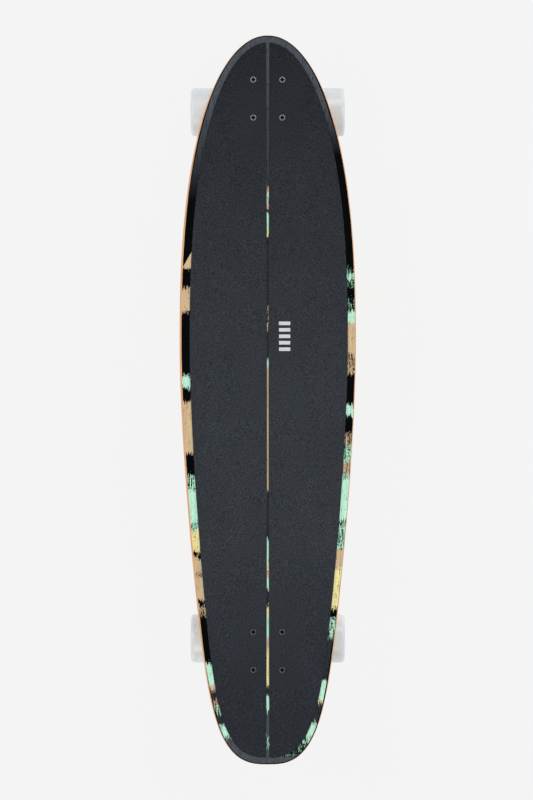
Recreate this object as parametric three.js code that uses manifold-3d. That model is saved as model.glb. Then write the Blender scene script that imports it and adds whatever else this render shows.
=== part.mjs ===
// A longboard skateboard: a moulded deck on two reverse-kingpin trucks, with four wheels.
// Millimetres. +Z is up, +Y is towards the nose, and +X is to the rider's right.
// The origin is on the ground, below the middle of the deck.
import * as THREE from 'three';
import { mergeVertices } from 'three/addons/utils/BufferGeometryUtils.js';
import Module from 'manifold-3d';

const wasm = await Module();
wasm.setup();

// ---------------------------------------------------------------- driving dimensions

const GAP = 0.3; // clearance between pieces that touch on the real board

const DECK = {
  length: 1035,
  width: 250.6,
  thickness: 11,
  noseToWidest: 440, // distance from the nose tip back to the widest place
  noseToBolts: 89.3, // distance from the nose tip to the middle of the front bolts
  tailToBolts: 158.6, // distance from the tail end to the middle of the rear bolts
  truckFlat: 48, // half length of the flat that each truck is bolted to
  camber: 8, // rise of the middle between the trucks
  noseRise: 9,
  kickSlope: 0.3, // rise over run of the tail
  kickBend: 45, // length over which the deck bends into the tail
  concave: 7, // rise of the edges above the middle strip
  flatStrip: 64, // width of the strip that has no concave
  rail: 2.4, // how far the rounded edge runs in from the outline
};

// The outline from its widest place to each end: powers of a stretched ellipse, and how much
// the board narrows on the way to the tail.
const NOSE_CURVE = { along: 2.505, across: 0.481 };
const TAIL_CURVE = { along: 12.95, across: 0.3585, taper: 0.414, taperPower: 1.6 };

const GRIP = {
  thickness: 0.9,
  inset: 12.6, // bare rim between the outline and the sheet
  middleGap: 3.6, // gap between the left and the right half
  endCut: 0.4, // cut off each end of the sheet, where it would run out to a point
};

const WHEEL = {
  diameter: 70,
  width: 42,
  lip: 5.5, // radius of the rounded edges
  offset: 2.5, // how far the tyre sits outboard of its core
  coreDiameter: 35,
  mouthDiameter: 42, // opening in each face of the tyre
};

const BEARING = { outer: 22, width: 7, spacing: 10, shoulder: 2, spacerWall: 2 };

const AXLE = { diameter: 8, washer: 1, nutWidth: 12.7, nutLength: 6, tip: 2, bevel: 0.8 };

const TRUCK = {
  hangerWidth: 150,
  steeringAngle: THREE.MathUtils.degToRad(50), // between the steering axis and the deck
  axleInboard: 11.2, // from the middle of the bolts to the axle, towards the board's middle
  axleDrop: 65, // from the top of the baseplate down to the axle
  axleReach: 14, // from the pivot ball to the axle, along the steering axis
  axleRake: 8, // from the steering axis to the axle
  kingpinReach: 40, // from the pivot ball to the kingpin, along the steering axis
  pivotBall: 12,
};

const HANGER = {
  beamDiameter: 19,
  wingDiameter: 17.4, // of the beam, where its ends start to taper
  endDiameter: 14.4,
  endTaper: 4, // length of each tapered end
  ringThickness: 8,
  ringWall: 2.7, // how far the ring stands out past the bushings
  kingpinRoom: 2.9, // the kingpin tilts inside the ring when the truck steers
  webBack: 8, // from the axle back to the web's rear face
  webRear: 10, // height of the rear face
  webHeel: 5, // from the axle forward to the web's lowest corner
  webHeelDrop: 8, // from the axle down to that corner
  webCrown: 10, // from the axle forward to where the web is level with the ring
  webHalfWidth: 9, // at its rear face
  wingReach: 5, // from the axle to each edge of the web, at the ends of the beam
  kneeShare: 0.56, // how far along the wing the web starts to swell
  kneeReach: 8, // from the axle forward to the web's edge there
  shoulderSpread: 7, // from the ring outwards to the web's shoulder
  shoulderReach: 12, // from the axle forward to the shoulder
  neckBack: 6, // from the kingpin back to where the web meets the ring
  stubNeck: 0.8, // how much thinner the stub is than its ball
  stubSwell: 1.5, // how much thicker it is where it leaves the web
};

const KINGPIN = { diameter: 9.5, hexWidth: 14.3, headHeight: 6, nutHeight: 7.5, tip: 2.4 };
const BUSHING = {
  diameter: 24.6,
  boardHeight: 13.4,
  roadHeight: 11.5,
  roadEndDiameter: 20,
  bevel: 1, // how far each rounded edge runs in from the side
  bevelHeight: 2,
};
const CUP_WASHER = { thickness: 1.8, boardLip: 1.2, roadLip: 1 }; // lips stand out past the bushings
const PIVOT_CUP = { wall: 1.7, floor: 2, mouth: 3 };

const BASEPLATE = {
  width: 56,
  flange: 6,
  cornerRadius: 8,
  edgeMargin: 9.5, // from the outer bolts to the ends of the flange
  wedgeWidth: 29,
  kingpinWall: 8, // thickness between the bushing's seat and the kingpin's head
  headRoom: 0.85, // space around the kingpin's head
  backWall: 4.5,
  towerWall: 3.2, // thickness around the pivot cup
  towerBevel: 3,
  towerBack: 5, // from the pivot ball back to where the wedge meets the tower
  stubRoom: 9, // clear bore beyond the pivot cup's mouth
  seatMargin: 1.5, // flat left around the cup washer
  seatStep: 2, // length of the step down from the seat to the web
  foot: 8, // how far the wedge runs on past the seat, down to the flange
  hidden: 0.5, // how far a face is sunk into the piece that it is cast onto
};

const RISER = { thickness: 3 };

const BOLT = {
  diameter: 4.76,
  headDiameter: 9.3,
  headAngle: THREE.MathUtils.degToRad(41), // half of the cone's angle
  rim: 0.4,
  acrossSpacing: 41.28,
  alongSpacing: 53.98,
  longAlongSpacing: 63.5, // the spare pair of holes in the baseplate
  nutWidth: 9.5,
  nutHeight: 6.2,
  tip: 3,
};

const FINE = 32; // facets around a tyre
const MEDIUM = 16; // facets around other turned pieces
const COARSE = 8; // facets around holes and screws
const OVERRUN = 1; // how far a cutter runs past the face that it cuts

// Places across the deck and across one half of the grip, as shares of the width. They are closer
// together towards the edge, where the concave is steepest.
const DECK_COLUMNS = [-1, -0.8, -0.56, -0.3, 0.3, 0.56, 0.8, 1];
const GRIP_COLUMNS = [0, 0.3, 0.56, 0.8, 1];

// ---------------------------------------------------------------- places worked out from them

const noseY = DECK.length / 2;
const tailY = -DECK.length / 2;
const widestY = noseY - DECK.noseToWidest;
const frontBoltsY = noseY - DECK.noseToBolts;
const rearBoltsY = tailY + DECK.tailToBolts;

const wheelRadius = WHEEL.diameter / 2;
const baseplateTopZ = wheelRadius + TRUCK.axleDrop;
const riserBottomZ = baseplateTopZ + GAP;
const deckSeatZ = riserBottomZ + RISER.thickness + GAP;
const deckTopZ = deckSeatZ + DECK.thickness;
const gripBottomZ = deckTopZ + GAP;

const hangerEnd = TRUCK.hangerWidth / 2;
const innerBearingX = hangerEnd + AXLE.washer;
const coreMiddleX = innerBearingX + BEARING.width + BEARING.spacing / 2;
const coreHalfWidth = BEARING.width + BEARING.spacing / 2;
const wheelMiddleX = coreMiddleX + WHEEL.offset;
const axleNutX = coreMiddleX + coreHalfWidth + AXLE.washer;
const axleHalfLength = axleNutX + AXLE.nutLength + AXLE.tip;

const ringHalf = HANGER.ringThickness / 2;
const ringRadius = BUSHING.diameter / 2 + HANGER.ringWall;
const boardWasherRadius = BUSHING.diameter / 2 + CUP_WASHER.boardLip;
const roadWasherRadius = BUSHING.roadEndDiameter / 2 + CUP_WASHER.roadLip;
const kingpinSeat = ringHalf + BUSHING.boardHeight + CUP_WASHER.thickness + 3 * GAP;
const kingpinHeadSeat = kingpinSeat + BASEPLATE.kingpinWall;
const kingpinNutTop = -(ringHalf + BUSHING.roadHeight + CUP_WASHER.thickness + 3 * GAP);
const kingpinEnd = kingpinNutTop - KINGPIN.nutHeight - KINGPIN.tip;

const cupRadius = TRUCK.pivotBall / 2 + GAP + PIVOT_CUP.wall;
const cupBottom = -(TRUCK.pivotBall / 2 + GAP + PIVOT_CUP.floor);

// The steering frame stands on the pivot ball: Y along the steering axis, outboard and up,
// and Z square to it on the deck's side. The truck frame stands on the baseplate's top
// between the bolts: Y outboard, Z up.
const axisY = Math.cos(TRUCK.steeringAngle);
const axisZ = Math.sin(TRUCK.steeringAngle);
const pivotY = -TRUCK.axleInboard - TRUCK.axleReach * axisY - TRUCK.axleRake * axisZ;
const pivotZ = -TRUCK.axleDrop - TRUCK.axleReach * axisZ + TRUCK.axleRake * axisY;

function inTruckFrame(along, above) {
  return [pivotY + along * axisY - above * axisZ, pivotZ + along * axisZ + above * axisY];
}

// ---------------------------------------------------------------- materials

function finish(color, roughness, metalness) {
  return { color, roughness, metalness };
}

const WOOD = finish(0xc89b6a, 0.55, 0);
const GRIT = finish(0x33363a, 0.95, 0);
const RISER_RUBBER = finish(0x17181a, 0.9, 0);
const CAST_METAL = finish(0xb4b7ba, 0.42, 0.9);
const CUP_PLASTIC = finish(0x202225, 0.6, 0);
const BUSHING_URETHANE = finish(0xd88a3c, 0.45, 0);
const STEEL = finish(0xa7a9ab, 0.3, 1);
const BLACK_STEEL = finish(0x1b1c1e, 0.4, 0.8);
const TYRE_URETHANE = finish(0xd6d9d8, 0.4, 0);
const CORE_PLASTIC = finish(0xe9ebe9, 0.5, 0);

// ---------------------------------------------------------------- geometry helpers

// Merges the shared corners and drops the triangles that have collapsed to a line.
function closed(geometry) {
  const bare = geometry.clone();
  bare.deleteAttribute('normal');
  bare.deleteAttribute('uv');
  const merged = mergeVertices(bare, 1e-4);
  const kept = [];
  for (let i = 0; i < merged.index.count; i += 3) {
    const [a, b, c] = [0, 1, 2].map((n) => merged.index.getX(i + n));
    if (a !== b && b !== c && c !== a) {
      kept.push(a, b, c);
    }
  }
  merged.setIndex(kept);
  return merged;
}

function toSolid(geometry) {
  const body = closed(geometry);
  const vertProperties = new Float32Array(body.attributes.position.array);
  const triVerts = new Uint32Array(body.index.array);
  return new wasm.Manifold(new wasm.Mesh({ numProp: 3, vertProperties, triVerts }));
}

function toGeometry(solid) {
  const mesh = solid.getMesh();
  const geometry = new THREE.BufferGeometry();
  geometry.setAttribute('position', new THREE.BufferAttribute(mesh.vertProperties, 3));
  geometry.setIndex(new THREE.BufferAttribute(mesh.triVerts, 1));
  return geometry;
}

function combine(first, added, removed) {
  let solid = toSolid(first);
  for (const geometry of added) {
    solid = solid.add(toSolid(geometry));
  }
  for (const geometry of removed) {
    solid = solid.subtract(toSolid(geometry));
  }
  return toGeometry(solid);
}

// Turns [place along the axis, radius] pairs around the Y axis.
function turned(profile, segments) {
  const points = profile.map(([along, radius]) => new THREE.Vector2(radius, along));
  if (THREE.ShapeUtils.area(points) < 0) {
    points.reverse();
  }
  return closed(new THREE.LatheGeometry(points, segments));
}

function alongX(geometry) {
  return geometry.rotateZ(-Math.PI / 2);
}

function alongZ(geometry) {
  return geometry.rotateX(Math.PI / 2);
}

function ringProfile(from, to, inner, outer) {
  return [[from, inner], [from, outer], [to, outer], [to, inner], [from, inner]];
}

function rodProfile(from, to, radius) {
  return [[from, 0], [from, radius], [to, radius], [to, 0]];
}

// The radius to the corners of a bore whose flats clear a round piece by the usual gap.
function boreFor(radius, facets = MEDIUM) {
  return (radius + GAP) / Math.cos(Math.PI / facets);
}

// A hexagon nut or head between two places on the Y axis.
function hexagon(from, to, acrossFlats) {
  const cornerRadius = acrossFlats / 2 / Math.cos(Math.PI / 6);
  const blank = new THREE.CylinderGeometry(cornerRadius, cornerRadius, to - from, 6);
  return blank.translate(0, (from + to) / 2, 0);
}

function polygon(corners) {
  return new THREE.Shape(corners.map(([x, y]) => new THREE.Vector2(x, y)));
}

function extruded(shape, depth) {
  return new THREE.ExtrudeGeometry(shape, { depth, bevelEnabled: false, curveSegments: COARSE / 2 });
}

// Extrudes a side view, drawn as [Y, Z] corners, across X about the middle plane.
function acrossX(corners, width) {
  const sideways = new THREE.Matrix4().makeBasis(
    new THREE.Vector3(0, 1, 0),
    new THREE.Vector3(0, 0, 1),
    new THREE.Vector3(1, 0, 0),
  );
  return extruded(polygon(corners), width).applyMatrix4(sideways).translate(-width / 2, 0, 0);
}

function piece(name, geometry, material) {
  const mesh = new THREE.Mesh(geometry, new THREE.MeshStandardMaterial(material));
  mesh.name = name;
  return mesh;
}

// ---------------------------------------------------------------- deck and grip

// Half the width at a place along the deck, for the outline or a line set in from it.
function halfWidthAt(y, inset = 0) {
  const fullHalfWidth = DECK.width / 2 - inset;
  if (y >= widestY) {
    const u = Math.min(1, (y - widestY) / (noseY - inset - widestY));
    return fullHalfWidth * (1 - u ** NOSE_CURVE.along) ** NOSE_CURVE.across;
  }
  const u = Math.min(1, (widestY - y) / (widestY - tailY - inset));
  const taper = 1 - TAIL_CURVE.taper * u ** TAIL_CURVE.taperPower;
  return fullHalfWidth * taper * (1 - u ** TAIL_CURVE.along) ** TAIL_CURVE.across;
}

// Rise of the deck above its two truck seats, along its middle line.
function rideRise(y) {
  const noseFlatEnd = frontBoltsY + DECK.truckFlat;
  const tailFlatEnd = rearBoltsY - DECK.truckFlat;
  const camberFront = frontBoltsY - DECK.truckFlat;
  const camberRear = rearBoltsY + DECK.truckFlat;
  if (y > noseFlatEnd) {
    return DECK.noseRise * ((y - noseFlatEnd) / (noseY - noseFlatEnd)) ** 2;
  }
  if (y < tailFlatEnd) {
    const run = tailFlatEnd - y;
    const bend = Math.min(run, DECK.kickBend);
    return DECK.kickSlope * (bend ** 2 / (2 * DECK.kickBend) + run - bend);
  }
  if (y > camberRear && y < camberFront) {
    return DECK.camber * Math.sin((Math.PI * (y - camberRear)) / (camberFront - camberRear)) ** 2;
  }
  return 0;
}

// Rise of the deck above its middle strip, across its width.
function concaveRise(x) {
  const beyond = Math.max(0, Math.abs(x) - DECK.flatStrip / 2);
  return DECK.concave * (beyond / (DECK.width / 2 - DECK.flatStrip / 2)) ** 2;
}

function riseAt(x, y) {
  return rideRise(y) + concaveRise(x);
}

// Places along the deck where its sections stand: closer together towards the round ends,
// with one more at each end of the grip.
function stationList() {
  const steps = 15;
  const gripNose = noseY - GRIP.inset - GRIP.endCut;
  const gripTail = tailY + GRIP.inset + GRIP.endCut;
  const stations = [gripTail, gripNose];
  for (let i = -steps; i <= steps; i += 1) {
    const reach = i > 0 ? noseY - widestY : widestY - tailY;
    stations.push(widestY + reach * Math.sin((i / steps) * (Math.PI / 2)));
  }
  stations.sort((a, b) => a - b);
  return { all: stations, grip: stations.filter((y) => y >= gripTail && y <= gripNose) };
}

// Joins equal rings of [x, y, z] corners into one closed skin, with a flat cap on each end.
function loft(rings) {
  const count = rings[0].length;
  const positions = rings.flat(2);
  const triangles = [];
  for (let ring = 0; ring + 1 < rings.length; ring += 1) {
    for (let i = 0; i < count; i += 1) {
      const next = (i + 1) % count;
      const here = ring * count;
      const there = here + count;
      triangles.push(here + i, there + next, here + next, here + i, there + i, there + next);
    }
  }
  const last = (rings.length - 1) * count;
  for (let i = 1; i + 1 < count; i += 1) {
    triangles.push(0, i, i + 1, last, last + i + 1, last + i);
  }
  const geometry = new THREE.BufferGeometry();
  geometry.setAttribute('position', new THREE.Float32BufferAttribute(positions, 3));
  geometry.setIndex(triangles);
  return closed(geometry);
}

// One section of the deck, as a ring of corners: bottom, right edge, top, left edge.
function deckSection(y) {
  const edge = halfWidthAt(y);
  const faceEdge = Math.max(0, edge - DECK.rail);
  const bottom = DECK_COLUMNS.map((share) => {
    const x = share * faceEdge;
    return [x, y, deckSeatZ + riseAt(x, y)];
  });
  const top = bottom.map(([x, , z]) => [x, y, z + DECK.thickness]).reverse();
  const middleZ = deckSeatZ + DECK.thickness / 2 + riseAt(edge, y);
  return [...bottom, [edge, y, middleZ], ...top, [-edge, y, middleZ]];
}

// One section of one half of the grip sheet; side is 1 on the right and -1 on the left.
function gripSection(y, side) {
  const inner = GRIP.middleGap / 2;
  const outer = halfWidthAt(y, GRIP.inset);
  const bottom = GRIP_COLUMNS.map((share) => {
    const x = side * (inner + share * (outer - inner));
    return [x, y, gripBottomZ + riseAt(x, y)];
  });
  const top = bottom.map(([x, , z]) => [x, y, z + GRIP.thickness]).reverse();
  const ring = [...bottom, ...top];
  return side > 0 ? ring : ring.reverse();
}

const stations = stationList();

function boltPlaces() {
  const places = [];
  for (const [truck, middleY, outboard] of [['front', frontBoltsY, 1], ['rear', rearBoltsY, -1]]) {
    for (const [side, sideSign] of [['left', -1], ['right', 1]]) {
      for (const [end, endSign] of [['outer', outboard], ['inner', -outboard]]) {
        places.push({
          name: `${truck}_${side}_${end}_bolt`,
          x: (sideSign * BOLT.acrossSpacing) / 2,
          y: middleY + (endSign * BOLT.alongSpacing) / 2,
        });
      }
    }
  }
  return places;
}

const headTopZ = gripBottomZ + GRIP.thickness - GAP;
const headRadius = BOLT.headDiameter / 2;
const boltRadius = BOLT.diameter / 2;
const headCone = (headRadius - boltRadius) / Math.tan(BOLT.headAngle);
const boltNutTopZ = baseplateTopZ - BASEPLATE.flange - GAP;

// The space that one bolt takes out of the deck and the grip.
function boltSpace({ x, y }) {
  const headBottomZ = headTopZ - BOLT.rim - headCone - GAP;
  const profile = [
    [deckSeatZ - OVERRUN, 0],
    [deckSeatZ - OVERRUN, boltRadius + GAP],
    [headBottomZ, boltRadius + GAP],
    [headTopZ - BOLT.rim - GAP, headRadius + GAP],
    [headTopZ + GAP + OVERRUN, headRadius + GAP],
    [headTopZ + GAP + OVERRUN, 0],
  ];
  return alongZ(turned(profile, COARSE)).translate(x, y, 0);
}

function deck() {
  const rings = stations.all.map(deckSection);
  return piece('deck', combine(loft(rings), [], boltPlaces().map(boltSpace)), WOOD);
}

function gripSheet(name, side) {
  const rings = stations.grip.map((y) => gripSection(y, side));
  const bolts = boltPlaces().filter((place) => place.x * side > 0);
  return piece(name, combine(loft(rings), [], bolts.map(boltSpace)), GRIT);
}

// A countersunk bolt, with the lock nut that holds it joined on.
function deckBolt(place) {
  const profile = [
    [boltNutTopZ - BOLT.nutHeight - BOLT.tip, 0],
    [boltNutTopZ - BOLT.nutHeight - BOLT.tip, boltRadius],
    [headTopZ - BOLT.rim - headCone, boltRadius],
    [headTopZ - BOLT.rim, headRadius],
    [headTopZ, headRadius],
    [headTopZ, 0],
  ];
  const screw = alongZ(turned(profile, COARSE));
  const nut = alongZ(hexagon(boltNutTopZ - BOLT.nutHeight, boltNutTopZ, BOLT.nutWidth));
  const mesh = piece(place.name, combine(screw, [nut], []), BLACK_STEEL);
  mesh.position.set(place.x, place.y, 0);
  return mesh;
}

// ---------------------------------------------------------------- riser and baseplate

const flangeOutboard = BOLT.alongSpacing / 2 + BASEPLATE.edgeMargin;
const flangeInboard = BOLT.alongSpacing / 2 - BOLT.longAlongSpacing - BASEPLATE.edgeMargin;

// The outline of the flange, with its six bolt holes.
function flangeShape() {
  const halfWidth = BASEPLATE.width / 2;
  const radius = BASEPLATE.cornerRadius;
  const shape = new THREE.Shape();
  shape.absarc(halfWidth - radius, flangeOutboard - radius, radius, 0, Math.PI / 2);
  shape.absarc(-halfWidth + radius, flangeOutboard - radius, radius, Math.PI / 2, Math.PI);
  shape.absarc(-halfWidth + radius, flangeInboard + radius, radius, Math.PI, Math.PI * 1.5);
  shape.absarc(halfWidth - radius, flangeInboard + radius, radius, Math.PI * 1.5, Math.PI * 2);
  shape.closePath();
  const outerY = BOLT.alongSpacing / 2;
  for (const x of [-BOLT.acrossSpacing / 2, BOLT.acrossSpacing / 2]) {
    for (const y of [outerY, -outerY, outerY - BOLT.longAlongSpacing]) {
      const hole = new THREE.Path();
      hole.absarc(x, y, boltRadius + GAP, 0, Math.PI * 2, true);
      shape.holes.push(hole);
    }
  }
  return shape;
}

function riser(truckName) {
  const geometry = closed(extruded(flangeShape(), RISER.thickness).translate(0, 0, GAP));
  return piece(`${truckName}_riser`, geometry, RISER_RUBBER);
}

// The casting that is bolted to the deck: a flange, a wedge that holds the kingpin, and a tower
// that holds the pivot cup. It is hollow on the deck's side, where the kingpin's head sits.
function baseplate(truckName) {
  const seatHalf = boardWasherRadius + BASEPLATE.seatMargin;
  const towerRadius = cupRadius + GAP + BASEPLATE.towerWall;
  const towerBottom = cupBottom - GAP - BASEPLATE.towerWall;
  const webFace = towerRadius - BASEPLATE.hidden;
  const webMouth = PIVOT_CUP.mouth - BASEPLATE.hidden;
  const seatOutboard = inTruckFrame(TRUCK.kingpinReach + seatHalf, kingpinSeat);
  const footY = seatOutboard[0] + BASEPLATE.foot;
  const wedge = acrossX(
    [
      [flangeInboard, 0],
      [flangeInboard, -BASEPLATE.flange],
      inTruckFrame(-BASEPLATE.towerBack, webFace),
      inTruckFrame(-BASEPLATE.towerBack, 0),
      inTruckFrame(webMouth, 0),
      inTruckFrame(webMouth, webFace),
      inTruckFrame(TRUCK.kingpinReach - seatHalf - BASEPLATE.seatStep, webFace),
      inTruckFrame(TRUCK.kingpinReach - seatHalf, kingpinSeat),
      seatOutboard,
      [footY, -BASEPLATE.flange + BASEPLATE.hidden],
      [footY, 0],
    ],
    BASEPLATE.wedgeWidth,
  );
  const flange = extruded(flangeShape(), BASEPLATE.flange).translate(0, 0, -BASEPLATE.flange);
  const tower = intoTruckFrame(
    turned(
      [
        [towerBottom, 0],
        [towerBottom, towerRadius - BASEPLATE.towerBevel],
        [towerBottom + BASEPLATE.towerBevel, towerRadius],
        [PIVOT_CUP.mouth, towerRadius],
        [PIVOT_CUP.mouth, 0],
      ],
      MEDIUM,
    ),
  );

  const boreEnd = PIVOT_CUP.mouth + BASEPLATE.stubRoom;
  const cupBore = turned(rodProfile(cupBottom - GAP, boreEnd, boreFor(cupRadius)), MEDIUM);
  const kingpinHole = alongZ(
    turned(
      rodProfile(kingpinSeat - OVERRUN, kingpinHeadSeat + OVERRUN, boreFor(KINGPIN.diameter / 2)),
      MEDIUM,
    ),
  ).translate(0, TRUCK.kingpinReach, 0);
  const headHalf = KINGPIN.hexWidth / 2 / Math.cos(Math.PI / 6) + BASEPLATE.headRoom;
  const headInboard = inTruckFrame(TRUCK.kingpinReach - headHalf, kingpinHeadSeat);
  const headOutboard = inTruckFrame(TRUCK.kingpinReach + headHalf, kingpinHeadSeat);
  const hollowInboard = flangeInboard + BASEPLATE.backWall;
  const hollowBack = headInboard[1] + ((headInboard[0] - hollowInboard) * axisY) / axisZ;
  const headHollow = acrossX(
    [
      headInboard,
      headOutboard,
      [headOutboard[0], OVERRUN],
      [hollowInboard, OVERRUN],
      [hollowInboard, hollowBack],
    ],
    2 * headHalf,
  );
  const cutters = [intoTruckFrame(cupBore), intoTruckFrame(kingpinHole), headHollow];
  return piece(`${truckName}_baseplate`, combine(flange, [wedge, tower], cutters), CAST_METAL);
}

// Moves a geometry that is drawn in the steering frame into the truck frame.
function intoTruckFrame(geometry) {
  return geometry.rotateX(TRUCK.steeringAngle).translate(0, pivotY, pivotZ);
}

// ---------------------------------------------------------------- steering parts

function pivotCup(truckName) {
  const ballSpace = TRUCK.pivotBall / 2 + GAP;
  const profile = [
    [cupBottom, 0],
    [cupBottom, cupRadius],
    [PIVOT_CUP.mouth, cupRadius],
    [PIVOT_CUP.mouth, ballSpace],
    [-ballSpace, ballSpace],
    [-ballSpace, 0],
  ];
  return piece(`${truckName}_pivot_cup`, turned(profile, MEDIUM), CUP_PLASTIC);
}

// Places a piece of the kingpin stack, which is drawn along its own Z axis.
function onKingpin(name, geometry, material) {
  const mesh = piece(name, alongZ(geometry), material);
  mesh.position.set(0, TRUCK.kingpinReach, 0);
  return mesh;
}

function kingpinStack(truckName) {
  const pinRadius = KINGPIN.diameter / 2;
  const bore = boreFor(pinRadius);
  const bushingRadius = BUSHING.diameter / 2;

  const headBottom = kingpinHeadSeat + GAP;
  const shank = turned(rodProfile(kingpinEnd, headBottom + KINGPIN.headHeight / 2, pinRadius), MEDIUM);
  const head = hexagon(headBottom, headBottom + KINGPIN.headHeight, KINGPIN.hexWidth);
  const nutBlank = hexagon(kingpinNutTop - KINGPIN.nutHeight, kingpinNutTop, KINGPIN.hexWidth);
  const nutBore = turned(rodProfile(kingpinEnd, 0, bore), MEDIUM);

  const boardFrom = ringHalf + GAP;
  const boardTo = boardFrom + BUSHING.boardHeight;
  const boardBushing = [
    [boardFrom, bore],
    [boardFrom, bushingRadius - BUSHING.bevel],
    [boardFrom + BUSHING.bevelHeight, bushingRadius],
    [boardTo - BUSHING.bevelHeight, bushingRadius],
    [boardTo, bushingRadius - BUSHING.bevel],
    [boardTo, bore],
    [boardFrom, bore],
  ];
  const roadFrom = -boardFrom;
  const roadTo = roadFrom - BUSHING.roadHeight;
  const roadBushing = [
    [roadFrom, bore],
    [roadFrom, bushingRadius - BUSHING.bevel],
    [roadFrom - BUSHING.bevelHeight, bushingRadius],
    [roadTo, BUSHING.roadEndDiameter / 2],
    [roadTo, bore],
    [roadFrom, bore],
  ];
  const boardWasherFrom = boardTo + GAP;
  const boardWasherTo = boardWasherFrom + CUP_WASHER.thickness;
  const boardWasher = ringProfile(boardWasherFrom, boardWasherTo, bore, boardWasherRadius);
  const roadWasherTo = roadTo - GAP;
  const roadWasherFrom = roadWasherTo - CUP_WASHER.thickness;
  const roadWasher = ringProfile(roadWasherFrom, roadWasherTo, bore, roadWasherRadius);

  return [
    onKingpin(`${truckName}_kingpin`, combine(shank, [head], []), STEEL),
    onKingpin(`${truckName}_kingpin_nut`, combine(nutBlank, [], [nutBore]), STEEL),
    onKingpin(`${truckName}_board_bushing`, turned(boardBushing, MEDIUM), BUSHING_URETHANE),
    onKingpin(`${truckName}_road_bushing`, turned(roadBushing, MEDIUM), BUSHING_URETHANE),
    onKingpin(`${truckName}_board_washer`, turned(boardWasher, MEDIUM), STEEL),
    onKingpin(`${truckName}_road_washer`, turned(roadWasher, MEDIUM), STEEL),
  ];
}

// ---------------------------------------------------------------- hanger, axle and wheels

// The beam around the axle, narrower towards both ends.
function hangerBeam() {
  const wingEnd = hangerEnd - HANGER.endTaper;
  const profile = [
    [-hangerEnd, 0],
    [-hangerEnd, HANGER.endDiameter / 2],
    [-wingEnd, HANGER.wingDiameter / 2],
    [0, HANGER.beamDiameter / 2],
    [wingEnd, HANGER.wingDiameter / 2],
    [hangerEnd, HANGER.endDiameter / 2],
    [hangerEnd, 0],
  ];
  return onAxle(turned(profile, MEDIUM));
}

// The web between the beam and the kingpin, with the ring at its end: the part that a side view
// and a plan have in common.
function hangerWeb() {
  const wingEnd = hangerEnd - HANGER.endTaper;
  const webStart = TRUCK.axleReach - HANGER.webBack;
  const sideView = acrossX(
    [
      [TRUCK.kingpinReach + ringRadius, -ringHalf],
      [TRUCK.kingpinReach + ringRadius, ringHalf],
      [TRUCK.axleReach + HANGER.webCrown, ringHalf],
      [webStart, -TRUCK.axleRake + HANGER.webRear / 2],
      [webStart, -TRUCK.axleRake - HANGER.webRear / 2],
      [TRUCK.axleReach + HANGER.webHeel, -TRUCK.axleRake - HANGER.webHeelDrop],
      [TRUCK.kingpinReach - ringRadius + OVERRUN, -ringHalf],
    ],
    2 * wingEnd,
  );

  const rightEdge = [
    [HANGER.webHalfWidth, webStart],
    [wingEnd, TRUCK.axleReach - HANGER.wingReach],
    [wingEnd, TRUCK.axleReach + HANGER.wingReach],
    [wingEnd * HANGER.kneeShare, TRUCK.axleReach + HANGER.kneeReach],
    [ringRadius + HANGER.shoulderSpread, TRUCK.axleReach + HANGER.shoulderReach],
    [ringRadius, TRUCK.kingpinReach - HANGER.neckBack],
  ];
  const leftEdge = rightEdge.map(([x, y]) => [-x, y]).reverse();
  const ringEdge = [];
  for (let i = 0; i <= COARSE; i += 1) {
    const angle = (Math.PI * i) / COARSE;
    ringEdge.push([ringRadius * Math.cos(angle), TRUCK.kingpinReach + ringRadius * Math.sin(angle)]);
  }
  const planHeight = 2 * (TRUCK.axleRake + HANGER.beamDiameter);
  const plan = extruded(polygon([...rightEdge, ...ringEdge, ...leftEdge]), planHeight);
  plan.translate(0, 0, -planHeight / 2);
  return toGeometry(toSolid(sideView).intersect(toSolid(plan)));
}

// The stub that reaches back from the beam and ends in the pivot ball.
function hangerStub() {
  const ballRadius = TRUCK.pivotBall / 2;
  const tipSteps = 4;
  const profile = [];
  for (let i = 0; i <= tipSteps; i += 1) {
    const angle = (Math.PI / 2) * (i / tipSteps);
    profile.push([-ballRadius * Math.cos(angle), ballRadius * Math.sin(angle)]);
  }
  profile.push(
    [PIVOT_CUP.mouth, ballRadius - HANGER.stubNeck],
    [TRUCK.axleReach - HANGER.webRear / 2, ballRadius + HANGER.stubSwell],
    [TRUCK.axleReach, 0],
  );
  return turned(profile, MEDIUM);
}

function hanger(truckName) {
  const boreEnd = hangerEnd + OVERRUN;
  const axleBore = onAxle(turned(rodProfile(-boreEnd, boreEnd, boreFor(AXLE.diameter / 2)), MEDIUM));
  const holeRadius = KINGPIN.diameter / 2 + HANGER.kingpinRoom;
  const holeEnd = ringHalf + OVERRUN;
  const kingpinHole = alongZ(turned(rodProfile(-holeEnd, holeEnd, holeRadius), MEDIUM));
  kingpinHole.translate(0, TRUCK.kingpinReach, 0);
  const casting = combine(hangerBeam(), [hangerWeb(), hangerStub()], [axleBore, kingpinHole]);
  return piece(`${truckName}_hanger`, casting, CAST_METAL);
}

// Lays a turned geometry along the axle, in the steering frame.
function onAxle(geometry) {
  return alongX(geometry).translate(0, TRUCK.axleReach, -TRUCK.axleRake);
}

function axle(truckName) {
  const radius = AXLE.diameter / 2;
  const rod = turned(
    [
      [-axleHalfLength, 0],
      [-axleHalfLength, radius - AXLE.bevel],
      [-axleHalfLength + AXLE.bevel, radius],
      [axleHalfLength - AXLE.bevel, radius],
      [axleHalfLength, radius - AXLE.bevel],
      [axleHalfLength, 0],
    ],
    MEDIUM,
  );
  return piece(`${truckName}_axle`, alongX(rod), STEEL);
}

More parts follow.
